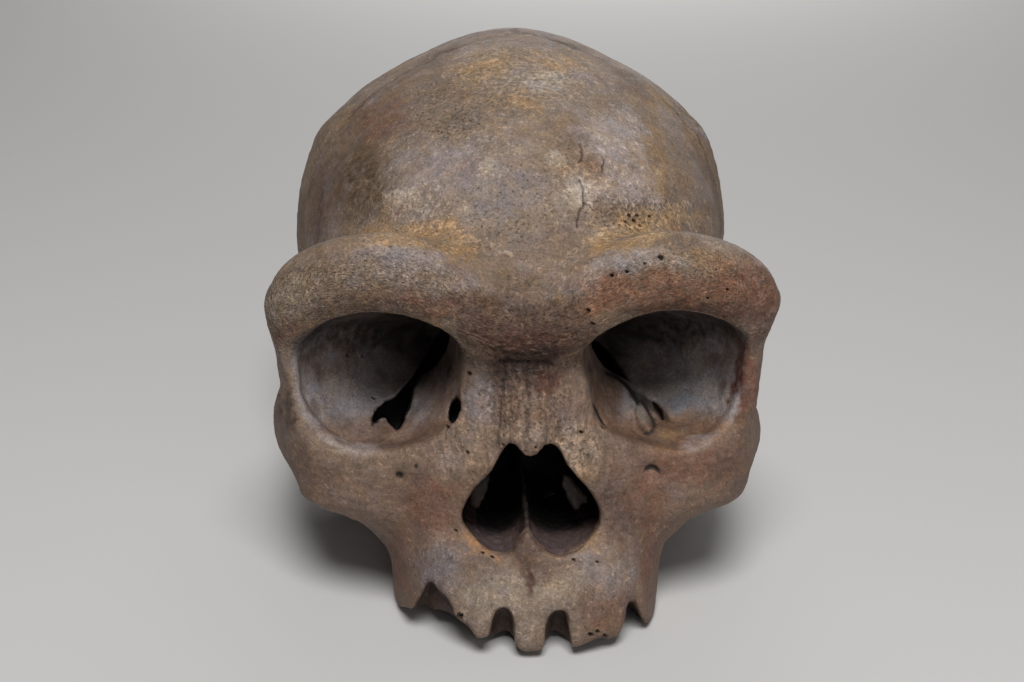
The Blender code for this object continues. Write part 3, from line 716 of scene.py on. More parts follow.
def nose_partitions(skull):
    """The thin wall on the midline of the nose, the curled flakes on its sides, and the ledge in front."""
    middle, half_thick = -0.7, 0.75
    skull.cut(seen_prism(NOSE_RIM, -8, 12), 0.4)

    def wall(x, y, z):
        crest = np.interp(y, (9, 20, 35, 50), (-23.5, -19, -13, -6))
        return np.maximum(np.abs(x - middle) - half_thick, 0.9 * (z - crest))

    skull.add(Shape((-2, 10, -34), (1, 60, -6), wall), 1.5)
    for flake in (LEFT_CONCHA, RIGHT_CONCHA):
        skull.add(seen_prism(flake, 17, 20), 1)
    skull.cut(seen_tube([(574, 470, 17), (580, 486, 16.5), (583, 500, 16.5)], 0.7), 0.8)
    skull.cut(seen_tube([(480, 482, 17), (474, 496, 16.5)], 0.6), 0.8)
    skull.add(ellipsoid((middle, 4.5, -28.5), (3.4, 2.6, 3.4)), 2)


def cheekbone_recess(skull):
    """The dark hollow outside the rim of the eye socket at the viewer's left."""
    skull.swell((-70.5, 19, 13), (3.5, 5, 6.5), -2.2)
    skull.swell((-69, 17, 24), (4, 4, 4), 0.8)


def fine_forms(skull):
    """What the solid leaves out."""
    for feature in (eye_socket_depths, cheek_holes, nose_partitions, cheekbone_recess):
        feature(skull)


def softened(field):
    """The field with each value averaged with its neighbours', which takes the steps off its edges."""
    for axis in range(3):
        ahead = np.roll(field, -1, axis)
        behind = np.roll(field, 1, axis)
        field = 0.5 * field + 0.25 * (ahead + behind)
    return field


# The mesh


def mesh_from(name, points, triangles):
    """A mesh of the given points and triangles."""
    mesh = bpy.data.meshes.new(name)
    mesh.vertices.add(len(points))
    mesh.vertices.foreach_set("co", points.astype(np.float32).ravel())
    mesh.loops.add(triangles.size)
    mesh.loops.foreach_set("vertex_index", triangles.astype(np.int32).ravel())
    mesh.polygons.add(len(triangles))
    mesh.polygons.foreach_set("loop_start", np.arange(0, triangles.size, 3, dtype=np.int32))
    mesh.update(calc_edges=True)
    return mesh


def surface_of(volume):
    """The field's zero surface as points, in millimetres, and triangles."""
    grid = openvdb.FloatGrid(FAR)
    grid.copyFromArray(np.ascontiguousarray(volume.field))
    points, triangles, quads = grid.convertToPolygons(0.0, 0.0)
    origin = [axis[0] for axis in volume.axes]
    halves = [triangles, quads[:, [0, 1, 2]], quads[:, [0, 2, 3]]]
    return points * volume.step + origin, np.concatenate(halves).astype(np.int64)


def thinned(points, triangles, chosen, keep):
    """The surface with the faces between the chosen points thinned out to a share of their number."""
    piece = bpy.data.objects.new("thinning", mesh_from("thinning", points, triangles))
    bpy.context.scene.collection.objects.link(piece)
    group = piece.vertex_groups.new(name="chosen")
    group.add(np.flatnonzero(chosen).tolist(), 1.0, "REPLACE")
    thinner = piece.modifiers.new("thinner", "DECIMATE")
    thinner.vertex_group = group.name
    thinner.vertex_group_factor = 1000
    thinner.use_collapse_triangulate = True
    thinner.ratio = 1 - chosen[triangles].all(1).mean() * (1 - keep)
    made = bpy.data.meshes.new_from_object(piece.evaluated_get(bpy.context.evaluated_depsgraph_get()))
    bpy.data.objects.remove(piece)
    places = np.empty(len(made.vertices) * 3, np.float32)
    made.vertices.foreach_get("co", places)
    corners = np.empty(len(made.loops), np.int32)
    made.loops.foreach_get("vertex_index", corners)
    bpy.data.meshes.remove(made)
    return places.reshape(-1, 3).astype(float), corners.reshape(-1, 3).astype(np.int64)


def refined(points, triangles, chosen):
    """The surface with each edge between two chosen points split in the middle."""
    sides = np.sort(np.concatenate([triangles[:, pair] for pair in ([0, 1], [1, 2], [2, 0])]), axis=1)
    keys = sides[:, 0] * len(points) + sides[:, 1]
    _, first, back = np.unique(keys, return_index=True, return_inverse=True)
    edges = sides[first]
    split = chosen[edges].all(1)
    number = np.full(len(edges), -1)
    number[split] = len(points) + np.arange(split.sum())
    points = np.concatenate([points, points[edges[split]].mean(1)])
    middles = number[back].reshape(3, -1).T
    count = (middles >= 0).sum(1)
    made = [triangles[count == 0]]
    for turn in range(3):
        (a, b, c), (m, n, o) = np.roll(triangles, turn, axis=1).T, np.roll(middles, turn, axis=1).T
        one = (count == 1) & (m >= 0)
        made += [np.stack(corners, 1)[one] for corners in ((a, m, c), (m, b, c))]
        two = (count == 2) & (o < 0)
        made += [np.stack(corners, 1)[two] for corners in ((m, b, n), (a, m, n), (a, n, c))]
    (a, b, c), (m, n, o) = triangles.T, middles.T
    made += [np.stack(corners, 1)[count == 3] for corners in ((a, m, o), (m, b, n), (o, n, c), (m, n, o))]
    return points, np.concatenate(made)


def normals_of(points, triangles):
    """The direction out of the surface at each point."""
    a, b, c = (points[triangles[:, i]] for i in range(3))
    across = np.repeat(np.cross(b - a, c - a), 3, axis=0)
    summed = np.stack([np.bincount(triangles.ravel(), across[:, i], len(points)) for i in range(3)], 1)
    return summed / (np.linalg.norm(summed, axis=1, keepdims=True) + 1e-12)


# Relief

NOISE_SEED = 7
SHUFFLE = np.random.default_rng(NOISE_SEED).permutation(256)
SLOPES = np.random.default_rng(NOISE_SEED).normal(size=(256, 3))
SLOPES /= np.linalg.norm(SLOPES, axis=1, keepdims=True)


def noise(points, scale, layer=0):
    """Smooth noise between about -1 and 1, with lumps of the given size in millimetres."""
    place = points / np.array(scale, float) + layer * 17.31
    cell = np.floor(place).astype(np.int64)
    part = place - cell
    ease = part * part * part * (part * (part * 6 - 15) + 10)
    value = 0
    for corner in itertools.product((0, 1), repeat=3):
        x, y, z = (cell[:, i] + corner[i] for i in range(3))
        slope = SLOPES[SHUFFLE[(SHUFFLE[(SHUFFLE[x & 255] + y) & 255] + z) & 255]]
        weight = np.prod(np.where(corner, ease, 1 - ease), axis=1)
        value = value + weight * ((part - corner) * slope).sum(1)
    return 1.6 * value


def rough(points, scale, layer=0):
    """Noise with half as much of itself at half the size on top."""
    return noise(points, scale, layer) + 0.5 * noise(points, np.array(scale) / 2, layer + 1)


def at(shape, points):
    """A shape's distance at each of the points."""
    x, y, z = points.T[:, :, None, None]
    return shape.distance(x, y, z)[:, 0, 0]


CRACKS = [
    [(581, 144), (582, 154), (580, 163)], [(580, 178), (583, 190), (584, 203), (579, 213), (577, 226)],
    [(604, 158), (603, 172)], [(584, 203), (591, 207)]]
PORES = [
    (660, 257, 0.75), (626, 271, 0.6), (611, 274.6, 0.5), (588, 310, 0.55), (592, 323, 0.5),
    (644, 263, 0.35), (629, 215, 0.5), (634, 220, 0.6), (637, 215, 0.45), (625, 221, 0.4), (640, 225, 0.35),
    (649, 216, 0.35), (707, 298, 0.4), (727, 289.5, 0.4), (482, 552, 0.4), (491.5, 556, 0.45),
    (573, 559.5, 0.4), (597, 562, 0.35), (468.5, 373, 0.6), (446.7, 426, 0.5), (502.5, 444.5, 0.4),
    (535, 447, 0.3), (467, 452, 0.4), (373, 398, 0.45), (346, 355, 0.4), (362, 355.5, 0.4), (455, 530, 0.3),
    (581, 432, 0.5), (603, 427, 0.6), (590, 634, 0.6), (597, 631, 0.5), (604, 636, 0.7), (459, 616, 0.9)]
SEAMS = [
    [(500, 362), (508, 360), (517, 362), (526, 361), (535, 362.5), (545, 361), (553, 364)],
    [(528, 362), (527, 380), (529, 400), (527, 425), (530, 445)],
    [(506, 366), (503, 385), (500, 410), (497, 432), (498, 445)],
    [(548, 366), (552, 390), (557, 415), (561, 440)]]
SEAM_DEPTHS = (0.7, 0.45, 0.35, 0.3)

# In pixels of the photo: how far a line wanders, the half widths, and how far from a line it is searched
CRACK_WANDER, CRACK_HALF_WIDTH = 1.1, 0.8
SEAM_WANDER, SEAM_HALF_WIDTH, SEAM_STAIN = 1.3, 1.4, 1.7
SEAM_SEED = 20
LINE_REACH = 12


class Places:
    """The surface's points with what the relief and the stains need to know about them."""

    def __init__(self, points, triangles):
        self.points = points
        self.normals = normals_of(points, triangles)
        self.mirrored = points.copy()
        self.mirrored[:, 0] = np.abs(points[:, 0])
        self.pixels = np.stack(photo_pixels(leaned(points)), 1)
        self.u, self.v = self.pixels.T
        towards = view_axes()[0] - points
        facing = (self.normals * towards).sum(1) / np.linalg.norm(towards, axis=1)
        y = points[:, 1]
        self.seen = ramp(0.05, 0.3, facing) * ramp(95, 70, y)
        self.brow = self.brow_share()
        self.orbit = ramp(2.2, 0.6, at(orbit(), self.mirrored)) * ramp(11, 17, y)
        self.nose = ramp(1.5, 0.3, at(nose_opening(), points)) * ramp(5, 9, y)

    def brow_share(self):
        """How much a point belongs to the brow bar: 1 on its front, 0 away from it."""
        near = ramp(7, 2, at(tube(BROW_LINE), self.mirrored))
        return near * ramp(36, 24, self.points[:, 1]) * ramp(0.75, 0.35, self.normals[:, 2])

    def near_line(self, line):
        """How far each point lies from a line in the photo, in pixels, and far off where it isn't seen."""
        line = np.array(line, float)
        low, high = line.min(0) - LINE_REACH, line.max(0) + LINE_REACH
        close = ((self.pixels > low) & (self.pixels < high)).all(1) & (self.seen > 0)
        nearest = np.full(len(close), np.inf)
        nearest[close] = line_distance(self.u[close], self.v[close], line)
        return nearest

    def near_cracks(self):
        return [self.near_line(wandering(line, CRACK_WANDER, k)) for k, line in enumerate(CRACKS)]

    def near_seams(self):
        return [self.near_line(wandering(line, SEAM_WANDER, SEAM_SEED + k)) for k, line in enumerate(SEAMS)]

    def near_pore(self, u, v):
        """How far each point lies from a pore of uneven outline, in pixels."""
        near = self.near_line([(u, v), (u + 1.2, v + 0.6)])
        close = near < LINE_REACH
        near[close] *= 1 + 0.45 * noise(self.points[close], 0.7, 98)
        return near


def wandering(line, reach, seed):
    """A line through the given points that wanders between them."""
    random = np.random.default_rng(seed)
    fine = smooth_line(line, 5)
    return fine + random.uniform(-reach, reach, fine.shape)


def marked(places, lines, line_reach, pore_reach, pore_line):
    """The points round the given lines and round the pores, as far as the given pixels."""
    chosen = np.zeros(len(places.points), bool)
    for line in lines:
        chosen |= places.near_line(line) < line_reach
    for u, v, radius in PORES:
        chosen |= places.near_line([(u, v), (u + pore_line[0], v + pore_line[1])]) < pore_reach + 3 * radius
    return chosen


def fine_zone(points, triangles):
    """The points of the brow, the face, the cracks and the pores, where the triangles are split."""
    places = Places(points, triangles)
    x, y, z = np.abs(points[:, 0]), points[:, 1], points[:, 2]
    outside = (places.orbit < 0.3) & (places.nose < 0.3)
    face = (places.seen > 0.1) & outside & (y < 30) & (z < 26) & (x < 62)
    return (places.brow > 0.05) | face | marked(places, CRACKS + SEAMS, 4, 5, (0, 0.1))


def finest_zone(points, triangles):
    """The points round the cracks and the pores, whose triangles are split once more."""
    return marked(Places(points, triangles), CRACKS, 5, 3, (1, 0)) & (points[:, 1] < 45)


def warp(points, scale, layer):
    """A shift of each point along x, y and z that winds straight grain."""
    return np.stack([noise(points, scale, layer + i) for i in range(3)], 1)


def ridged(points, scale, layer):
    """Noise with sharp crests."""
    return 1 - 2 * np.abs(noise(points, scale, layer))


def streaks(points):
    """Grain that runs down the nasal bones."""
    return rough(points + 1.2 * warp(points, 7, 90), (1.2, 3, 6.5), 9)


def along_brow(points):
    """Places in which the brow bar runs straight along x."""
    x, y, z = points.T
    line = np.array(BROW_LINE)
    return np.stack([x, y, z - np.interp(np.abs(x), line[:, 0], line[:, 2])], 1)


def brow_grain(places):
    """Short wavy ridges that run along the brow bar, coarser over the nose."""
    x, _, z = places.points.T
    flow = along_brow(places.points) + 0.7 * warp(places.points, 4, 30)
    middle = ramp(26, 8, np.abs(x)) * ramp(46, 30, z)
    fine = 0.15 * ridged(flow, (1.9, 1.0, 0.8), 3)
    coarse = (0.08 + 0.36 * middle) * ridged(flow, (2.8, 1.5, 1.3), 5)
    patchy = 0.8 + 0.35 * noise(places.points, 9, 8)
    return places.brow * patchy * (fine + coarse)


def flow_of(places):
    """Places in which the brow's grain runs along x, for the finer grain of the material."""
    return along_brow(places.points) + 0.8 * warp(places.points, 3.5, 33)


def vault_seams(places):
    """How close a point lies to the fused seams of the vault, which the photo doesn't show."""
    x, y, z = places.mirrored.T
    away, half_wide = 200, 0.9
    wiggle = 1.6 * noise(places.points, 3.2, 80) + 2.5 * noise(places.points, 9, 82)
    across = np.abs(y - 96 + 0.12 * x - wiggle) + away * (z < 62 + wiggle)
    middle = np.abs(places.points[:, 0] - wiggle) + away * ((y < 96) | (y > 186) | (z < 60))
    back = np.abs(z - 92 + 1.1 * x - wiggle) * 0.75 + away * ((y < 128) | (x > 60) | (z < 26))
    arch = tube([(66, 82, 12), (68, 88, 34), (70, 104, 47), (70, 122, 46), (66, 138, 34)], 0)
    side = np.abs(at(arch, places.mirrored) + 0.35 * wiggle)
    nearest = np.minimum.reduce([across, middle, back, side])
    return np.exp(-(nearest / half_wide) ** 2) * ramp(-0.5, 0.35, noise(places.points, 22, 84))


def relief(places):
    """How far each point is moved out along its normal, in millimetres."""
    points = places.points
    x, y, z = np.abs(points[:, 0]), points[:, 1], points[:, 2]
    front = ramp(40, 22, y) * ramp(24, 12, z) * (1 - np.maximum(places.orbit, places.nose))
    nasal = front * ramp(34, 22, x) * ramp(-24, -8, z)
    below_socket = front * ramp(26, 32, x) * ramp(-22, -14, z)
    crown = ramp(42, 56, z)
    side = ramp(50, 58, x) * ramp(45, 60, y)
    neck = ramp(150, 165, y) * ramp(24, 10, z)
    mastoid = ramp(0, -10, z) * ramp(96, 104, y) * ramp(140, 128, y)
    rise = brow_grain(places) + (0.03 * front + 0.17 * nasal) * streaks(points) - 0.4 * vault_seams(places)
    for kind, share, height, scale, layer in (
            (noise, 1, 0.3, 16, 1), (rough, 1, 0.13, 5, 2), (rough, 1, 0.04, 1.6, 4),
            (rough, front, 0.07, 2.0, 94), (ridged, nasal, 0.16, (1.3, 1.6, 1.9), 96),
            (rough, np.maximum(neck, mastoid), 0.4, 4, 13), (rough, side, 0.14, (3, 5, 2.5), 15),
            (noise, places.orbit, 0.75, (12, 14, 12), 19), (rough, places.orbit, 0.16, (3, 5, 5), 21),
            (noise, front, 0.35, (7, 7, 9), 23), (rough, places.nose * ramp(9, 13, y), 0.4, 2.4, 25),
            (rough, below_socket, 0.16, (6, 3, 1.6), 27)):
        rise += share * height * kind(points, scale, layer)
    for share, depth, low, high, scale, layer in (
            (crown, 0.2, 0.35, 0.8, (2.6, 2.6, 1.6), 11), (side, 0.35, 0.55, 0.9, 3.5, 17)):
        rise -= share * depth * ramp(low, high, rough(points, scale, layer))
    for near in places.near_cracks():
        rise -= 0.6 * np.exp(-(near / CRACK_HALF_WIDTH) ** 2)
    for depth, near in zip(SEAM_DEPTHS, places.near_seams()):
        rise -= depth * np.exp(-(near / SEAM_HALF_WIDTH) ** 2)
    for u, v, radius in PORES:
        rise -= 1.9 * radius * np.exp(-(places.near_pore(u, v) / (2.7 * radius)) ** 4)
    return rise


# Stains and painted light and shade, as reflectance

UMBER = (0.1, 0.06, 0.042)
# Deep umber is also painted shade: in the eye sockets, the nose, the broken tooth sockets and under the brow
DEEP_UMBER = (0.042, 0.024, 0.018)
TAN = (0.205, 0.142, 0.1)
CHEEK_BROWN = (0.155, 0.098, 0.071)
GREY_BROWN = (0.225, 0.168, 0.13)
OCHRE = (0.29, 0.182, 0.1)
PALE_OCHRE = (0.37, 0.24, 0.135)
ORANGE = (0.31, 0.165, 0.082)
OLIVE = (0.105, 0.07, 0.04)
RUST = (0.14, 0.066, 0.044)
RED_BROWN = (0.2, 0.1, 0.062)
CREAM = (0.42, 0.335, 0.26)
BUFF = (0.29, 0.222, 0.168)
# Lilac is the bone's grey-lilac tone, and on the forehead, the brow's top and the right eye socket's lower
# rim it is also painted sheen. Pale lilac is painted sheen and highlight only.
LILAC = (0.265, 0.208, 0.186)
PALE_LILAC_SHEEN = (0.34, 0.272, 0.24)
DIM_LILAC = (0.19, 0.155, 0.15)
GREY = (0.27, 0.228, 0.215)
# Near-black painted shade, for the tops and backs of the eye sockets, their fissures and pits, the holes
# below them and the back of the nose
SHADE_BLACK = (0.01, 0.008, 0.007)
NOSE_BROWN = (0.095, 0.064, 0.058)
BLUE_GREY = (0.17, 0.175, 0.19)
GREEN_GREY = (0.15, 0.15, 0.125)
PIT_BROWN = (0.024, 0.014, 0.01)
DARK_RED = (0.075, 0.03, 0.02)
DARK_OLIVE = (0.08, 0.048, 0.026)

# The finish of all colours, painted light and shade included: how bright each channel looks, the middle hue,
# how far the hues are spread from it, and how much all is dimmed
BRIGHTNESS = np.array((0.3, 0.5, 0.2))
MIDDLE_HUE = np.array((1.27, 0.93, 0.77))
HUE_SPREAD = 1.2
DIMMED = 0.94

# Each soft patch colours the bone, with painted light and shade where noted: its middle and half sizes in
# the photo, its turn, its colour and its strength
# On the forehead, the large lilac and pale lilac patches are painted sheen where light falls on the smooth
# bone, over its grey-lilac tone
FOREHEAD_PATCHES = [
    (520, 56, 90, 32, 0, BUFF, 0.6), (505, 78, 62, 36, 0, OLIVE, 0.35), (525, 103, 26, 10, 0, OCHRE, 0.75),
    (480, 62, 30, 14, -10, OCHRE, 0.6), (560, 66, 26, 12, 10, OCHRE, 0.55),
    (470, 95, 40, 22, -20, OCHRE, 0.35), (545, 84, 20, 12, 0, CREAM, 0.55),
    (447, 112, 36, 24, -20, UMBER, 0.15), (440, 168, 44, 28, 10, LILAC, 0.9),
    (614, 140, 36, 28, 20, PALE_LILAC_SHEEN, 0.95), (630, 187, 34, 20, 10, PALE_LILAC_SHEEN, 0.75),
    (493, 167, 12, 9, 0, CREAM, 0.6), (555, 160, 11, 8, 0, CREAM, 0.7),
    (578, 193, 24, 16, -15, CREAM, 0.75), (406, 200, 17, 10, 0, CREAM, 0.5),
    (468, 210, 9, 6, 0, CREAM, 0.55), (520, 130, 34, 22, 0, GREY_BROWN, 0.5),
    (363, 180, 27, 44, 8, DARK_OLIVE, 0.9), (382, 118, 28, 28, -30, RUST, 0.6),
    (330, 190, 16, 60, 6, UMBER, 0.5), (315, 198, 14, 54, 5, DARK_RED, 0.9),
    (690, 150, 30, 60, -8, GREY_BROWN, 0.5), (658, 160, 9, 44, -6, OCHRE, 0.5),
    (708, 168, 10, 22, 0, RUST, 0.5), (520, 225, 64, 38, 0, GREY_BROWN, 0.7),
    (525, 248, 44, 24, 0, UMBER, 0.35), (505, 190, 42, 26, 0, DIM_LILAC, 0.6),
    (350, 122, 22, 20, -40, UMBER, 0.4), (700, 205, 26, 30, 0, TAN, 0.6), (716, 214, 8, 30, -4, LILAC, 0.5),
    (560, 240, 34, 16, -10, UMBER, 0.35)]
# On the brow, the lilac and pale lilac patches on its top are painted sheen over its grey-lilac tone, and
# the thin deep umber lines along its lower edge and the dark red and pit brown patches under its middle are
# painted shadow. Its red-brown and rust underside is its own colour.
BROW_PATCHES = [
    (400, 236, 62, 12, -6, OCHRE, 0.85), (446, 240, 36, 15, 18, OCHRE, 0.9),
    (345, 240, 40, 14, -30, TAN, 0.7), (460, 226, 14, 9, 0, OCHRE, 0.45),
    (632, 234, 46, 18, -18, PALE_OCHRE, 0.9), (604, 248, 20, 8, -20, OCHRE, 0.8),
    (680, 215, 24, 10, 10, PALE_OCHRE, 0.6), (706, 262, 26, 14, 20, OCHRE, 0.6),
    (403, 258, 60, 12, 4, LILAC, 0.7), (468, 281, 34, 12, 26, LILAC, 0.65),
    (612, 268, 42, 11, -22, PALE_LILAC_SHEEN, 0.75), (662, 258, 30, 10, 0, PALE_LILAC_SHEEN, 0.7),
    (560, 288, 28, 10, -12, DIM_LILAC, 0.5), (370, 284, 70, 15, -6, TAN, 0.5),
    (360, 276, 60, 10, -8, GREY_BROWN, 0.5), (430, 302, 64, 13, 6, RUST, 0.8),
    (330, 300, 40, 10, -24, CHEEK_BROWN, 0.4), (480, 314, 34, 20, 22, UMBER, 0.8),
    (290, 298, 20, 30, 0, BUFF, 0.7), (285, 332, 14, 14, 0, RUST, 0.6),
    (660, 288, 86, 16, 4, RED_BROWN, 0.95), (600, 303, 36, 16, -30, RED_BROWN, 0.9),
    (745, 288, 42, 28, 20, RED_BROWN, 0.95), (764, 322, 18, 28, 0, RUST, 0.6),
    (690, 308, 70, 8, 4, RUST, 0.8), (528, 322, 46, 30, 0, UMBER, 0.95),
    (528, 346, 50, 20, 0, DARK_RED, 0.95), (528, 352, 36, 11, 0, PIT_BROWN, 0.7),
    (480, 330, 22, 14, 30, DARK_RED, 0.6), (576, 334, 22, 14, -30, DARK_RED, 0.6),
    (528, 322, 34, 16, 0, UMBER, 0.3), (572, 327, 24, 24, -20, UMBER, 0.8),
    (500, 290, 26, 12, 0, UMBER, 0.35), (400, 312, 60, 6, 4, DEEP_UMBER, 0.4),
    (665, 308, 60, 6, 0, DEEP_UMBER, 0.4)]
# The deep umber patch at the top of the nose is painted shadow under the brow
FACE_PATCHES = [
    (520, 376, 34, 20, 0, DEEP_UMBER, 0.85), (545, 382, 12, 14, 0, DARK_RED, 0.8),
    (512, 408, 32, 26, 0, UMBER, 0.55), (520, 434, 38, 13, 0, BUFF, 0.35),
    (575, 418, 22, 36, 0, CHEEK_BROWN, 0.6), (574, 446, 20, 28, 0, BUFF, 0.6),
    (586, 470, 14, 12, 30, OCHRE, 0.4), (480, 400, 14, 40, 0, DIM_LILAC, 0.6),
    (468, 440, 26, 22, 0, TAN, 0.7), (300, 395, 12, 46, -12, BUFF, 0.5),
    (288, 408, 6, 24, -8, DEEP_UMBER, 0.85), (340, 455, 50, 20, 8, TAN, 0.4),
    (355, 444, 64, 8, 6, BUFF, 0.4), (310, 470, 30, 34, 0, UMBER, 0.4), (390, 470, 46, 18, 0, TAN, 0.3),
    (430, 504, 34, 30, 0, RUST, 0.75), (400, 492, 30, 18, 0, UMBER, 0.35), (455, 470, 20, 16, 0, BUFF, 0.3),
    (744, 384, 16, 42, 4, RUST, 0.95), (741, 396, 8, 26, 4, DARK_RED, 0.5), (757, 420, 12, 30, 0, TAN, 0.4),
    (670, 438, 24, 9, -8, ORANGE, 0.65), (700, 462, 50, 26, -10, RUST, 0.65),
    (640, 460, 44, 24, 0, RUST, 0.35), (600, 445, 26, 22, 0, TAN, 0.45),
    (735, 470, 26, 24, -20, UMBER, 0.35), (616, 512, 32, 32, 0, UMBER, 0.95),
    (650, 560, 12, 44, 0, RUST, 0.8), (645, 500, 26, 30, 0, RUST, 0.6), (398, 566, 12, 38, 0, RUST, 0.75),
    (444, 572, 26, 32, 0, DIM_LILAC, 0.85), (600, 572, 36, 28, 0, LILAC, 0.75),
    (505, 594, 44, 28, 0, BUFF, 0.85), (560, 596, 24, 26, 0, BUFF, 0.85), (480, 612, 34, 22, 0, BUFF, 0.4),
    (600, 612, 40, 24, 0, RUST, 0.35), (528, 564, 18, 8, 0, UMBER, 0.85), (528, 576, 9, 18, 0, UMBER, 0.9),
    (528, 582, 6, 24, 0, DARK_RED, 0.9), (478, 544, 24, 9, 38, ORANGE, 0.8),
    (586, 546, 18, 7, -40, OCHRE, 0.8), (528, 548, 19, 15, 0, UMBER, 0.95),
    (528, 550, 14, 9, 0, DEEP_UMBER, 0.5), (440, 614, 22, 12, 0, RUST, 0.35),
    (634, 628, 22, 12, 0, TAN, 0.5), (556, 632, 34, 16, 0, BUFF, 0.4), (528, 632, 12, 22, 0, BUFF, 0.5)]

# The eye sockets' own patches, laid over their grey walls. The near-black ones at their tops and backs are
# painted shade under the brow, the pale lilac and lilac strips along the lower inner rims are painted
# highlights, and the grey and blue-grey ones on the outer walls are painted light. The rest are stains.
ORBIT_PATCHES = [
    (380, 336, 96, 20, 0, SHADE_BLACK, 0.9), (434, 348, 40, 32, 0, SHADE_BLACK, 0.85), (352, 390, 34, 34, 0, GREY, 0.45),
    (404, 440, 50, 9, 0, UMBER, 0.9), (330, 356, 40, 20, -30, UMBER, 0.5),
    (340, 446, 44, 8, 8, PALE_LILAC_SHEEN, 0.8), (660, 330, 96, 16, 0, SHADE_BLACK, 0.9),
    (612, 350, 32, 26, 0, SHADE_BLACK, 0.9), (606, 404, 18, 32, 0, CHEEK_BROWN, 0.95),
    (606, 404, 18, 32, 0, UMBER, 0.65), (695, 382, 28, 28, 0, GREY, 0.5),
    (686, 402, 16, 13, 0, BLUE_GREY, 0.7), (655, 434, 60, 14, -4, UMBER, 0.8),
    (655, 443, 44, 7, 0, UMBER, 0.6), (670, 436, 18, 6, -6, OCHRE, 0.5),
    (641, 416, 4, 12, -18, GREEN_GREY, 0.9), (720, 352, 30, 20, 20, UMBER, 0.4),
    (700, 444, 20, 8, -30, LILAC, 0.8), (745, 380, 10, 60, 3, RUST, 1.0),
    (742, 392, 8, 40, 4, DARK_RED, 0.8)]

# Flecks crowd in a soft patch: its middle and half sizes, how crowded the pale ones are and the dark ones
FLECKS = [
    (520, 72, 78, 40, 0.85, 0.45), (447, 112, 48, 32, 0.3, 0.6), (578, 192, 42, 32, 0.8, 0.15),
    (500, 165, 34, 28, 0.5, 0.15), (415, 203, 62, 20, 0.7, 0.2), (635, 218, 56, 24, 0.65, 0.7),
    (430, 238, 84, 20, 0.55, 0.3), (520, 215, 74, 40, 0.35, 0.3), (690, 240, 50, 26, 0.4, 0.25),
    (575, 455, 30, 38, 0.95, 0.5), (520, 400, 46, 50, 0.6, 0.5), (465, 440, 30, 30, 0.5, 0.2),
    (528, 600, 70, 34, 0.3, 0.1), (600, 612, 50, 28, 0.15, 0.3), (430, 500, 50, 40, 0.1, 0.15),
    (620, 500, 40, 50, 0.1, 0.15), (340, 470, 60, 40, 0.15, 0), (700, 470, 60, 40, 0.1, 0),
    (690, 285, 90, 26, 0.2, 0.25), (528, 325, 50, 30, 0.35, 0.35), (370, 285, 90, 26, 0.35, 0.15)]
FLECK_ARCS = [
    [(385, 197), (425, 213), (460, 232), (500, 250), (533, 266)],
    [(560, 262), (585, 243), (610, 228), (645, 213), (690, 205)]]


# The ground: colour, strength, how much less of it there is on the front, and the reach, size and layer of
# the noise that spreads it
GROUND = [
    (GREY_BROWN, 1.0, 0, -0.3, 0.6, 30, 50), (OCHRE, 0.6, 0, 0.2, 0.8, 22, 52),
    (LILAC, 0.75, 0, 0.25, 0.7, 18, 54), (UMBER, 0.8, 0.75, 0.0, 0.8, 26, 56),
    (OLIVE, 0.7, 0.75, 0.3, 0.8, 12, 58), (RUST, 0.5, 0, 0.35, 0.8, 14, 59), (BUFF, 0.6, 0, 0.5, 0.9, 7, 60)]


def layered(colours, *layers):
    """Lays colours over the given ones, each by its share."""
    for colour, share in layers:
        colours = mixed(colours, np.array(colour), np.clip(share, 0, 1)[:, None])
    return colours


def stained(places, colours, stains):
    """Lays soft patches over the surface that the photo shows, with ragged edges. Some of them are painted
    light and shade, as the tables note.
    """
    points = places.points
    ragged_u = 9 * rough(points, 7, 40) + 4 * rough(points, 2.4, 42)
    ragged_v = 9 * rough(points, 7, 44) + 4 * rough(points, 2.4, 46)
    broken = 0.85 + 0.5 * rough(points, 1.7, 48)
    for u, v, half_wide, half_high, turn, colour, strength in stains:
        a = math.radians(turn)
        ragged = min(1, 2.2 * half_high / 20)
        du, dv = places.u + ragged * ragged_u - u, places.v + ragged * ragged_v - v
        along = (du * math.cos(a) + dv * math.sin(a)) / half_wide
        across = (dv * math.cos(a) - du * math.sin(a)) / half_high
        share = ramp(1.35, 0.45, np.hypot(along, across))
        colours = layered(colours, (colour, strength * share * broken * places.seen))
    return colours


def fleck_crowds(places):
    """How crowded pale and dark flecks are at each point."""
    points = places.points
    pale = 0.25 + 0.35 * noise(points, 20, 100)
    dark = 0.08 + 0.3 * noise(points, 16, 102)
    for u, v, half_wide, half_high, pale_crowd, dark_crowd in FLECKS:
        away = np.hypot((places.u - u) / half_wide, (places.v - v) / half_high)
        share = ramp(1.4, 0.5, away) * places.seen
        pale = mixed(pale, pale_crowd, share)
        dark = mixed(dark, dark_crowd, share)
    for line in FLECK_ARCS:
        near = places.near_line(wandering(line, 2.5, 40))
        pale = np.maximum(pale, 0.95 * np.exp(-(near / 4.5) ** 2))
    kept = 1 - 0.8 * np.maximum(places.orbit, places.nose)
    return np.stack([pale * kept, dark * kept, 0 * pale], 1)


def ground_colours(places):
    """The brown of the whole bone, with the stains of sides, back and underside left to chance."""
    winding = np.stack([rough(places.points, 5, 110 + 2 * i) for i in range(3)], 1)
    points = places.points + 2.6 * winding
    colours = np.tile(TAN, (len(points), 1))
    for colour, strength, spared, low, high, scale, layer in GROUND:
        share = strength * (1 - spared * places.seen) * ramp(low, high, rough(points, scale, layer))
        colours = layered(colours, (colour, share))
    _, y, z = places.points.T
    face = ramp(30, 18, z) * ramp(70, 45, y)
    below = ramp(20, -10, z) * ramp(45, 70, y)
    return layered(colours, (CHEEK_BROWN, 0.75 * face + 0.45 * below))


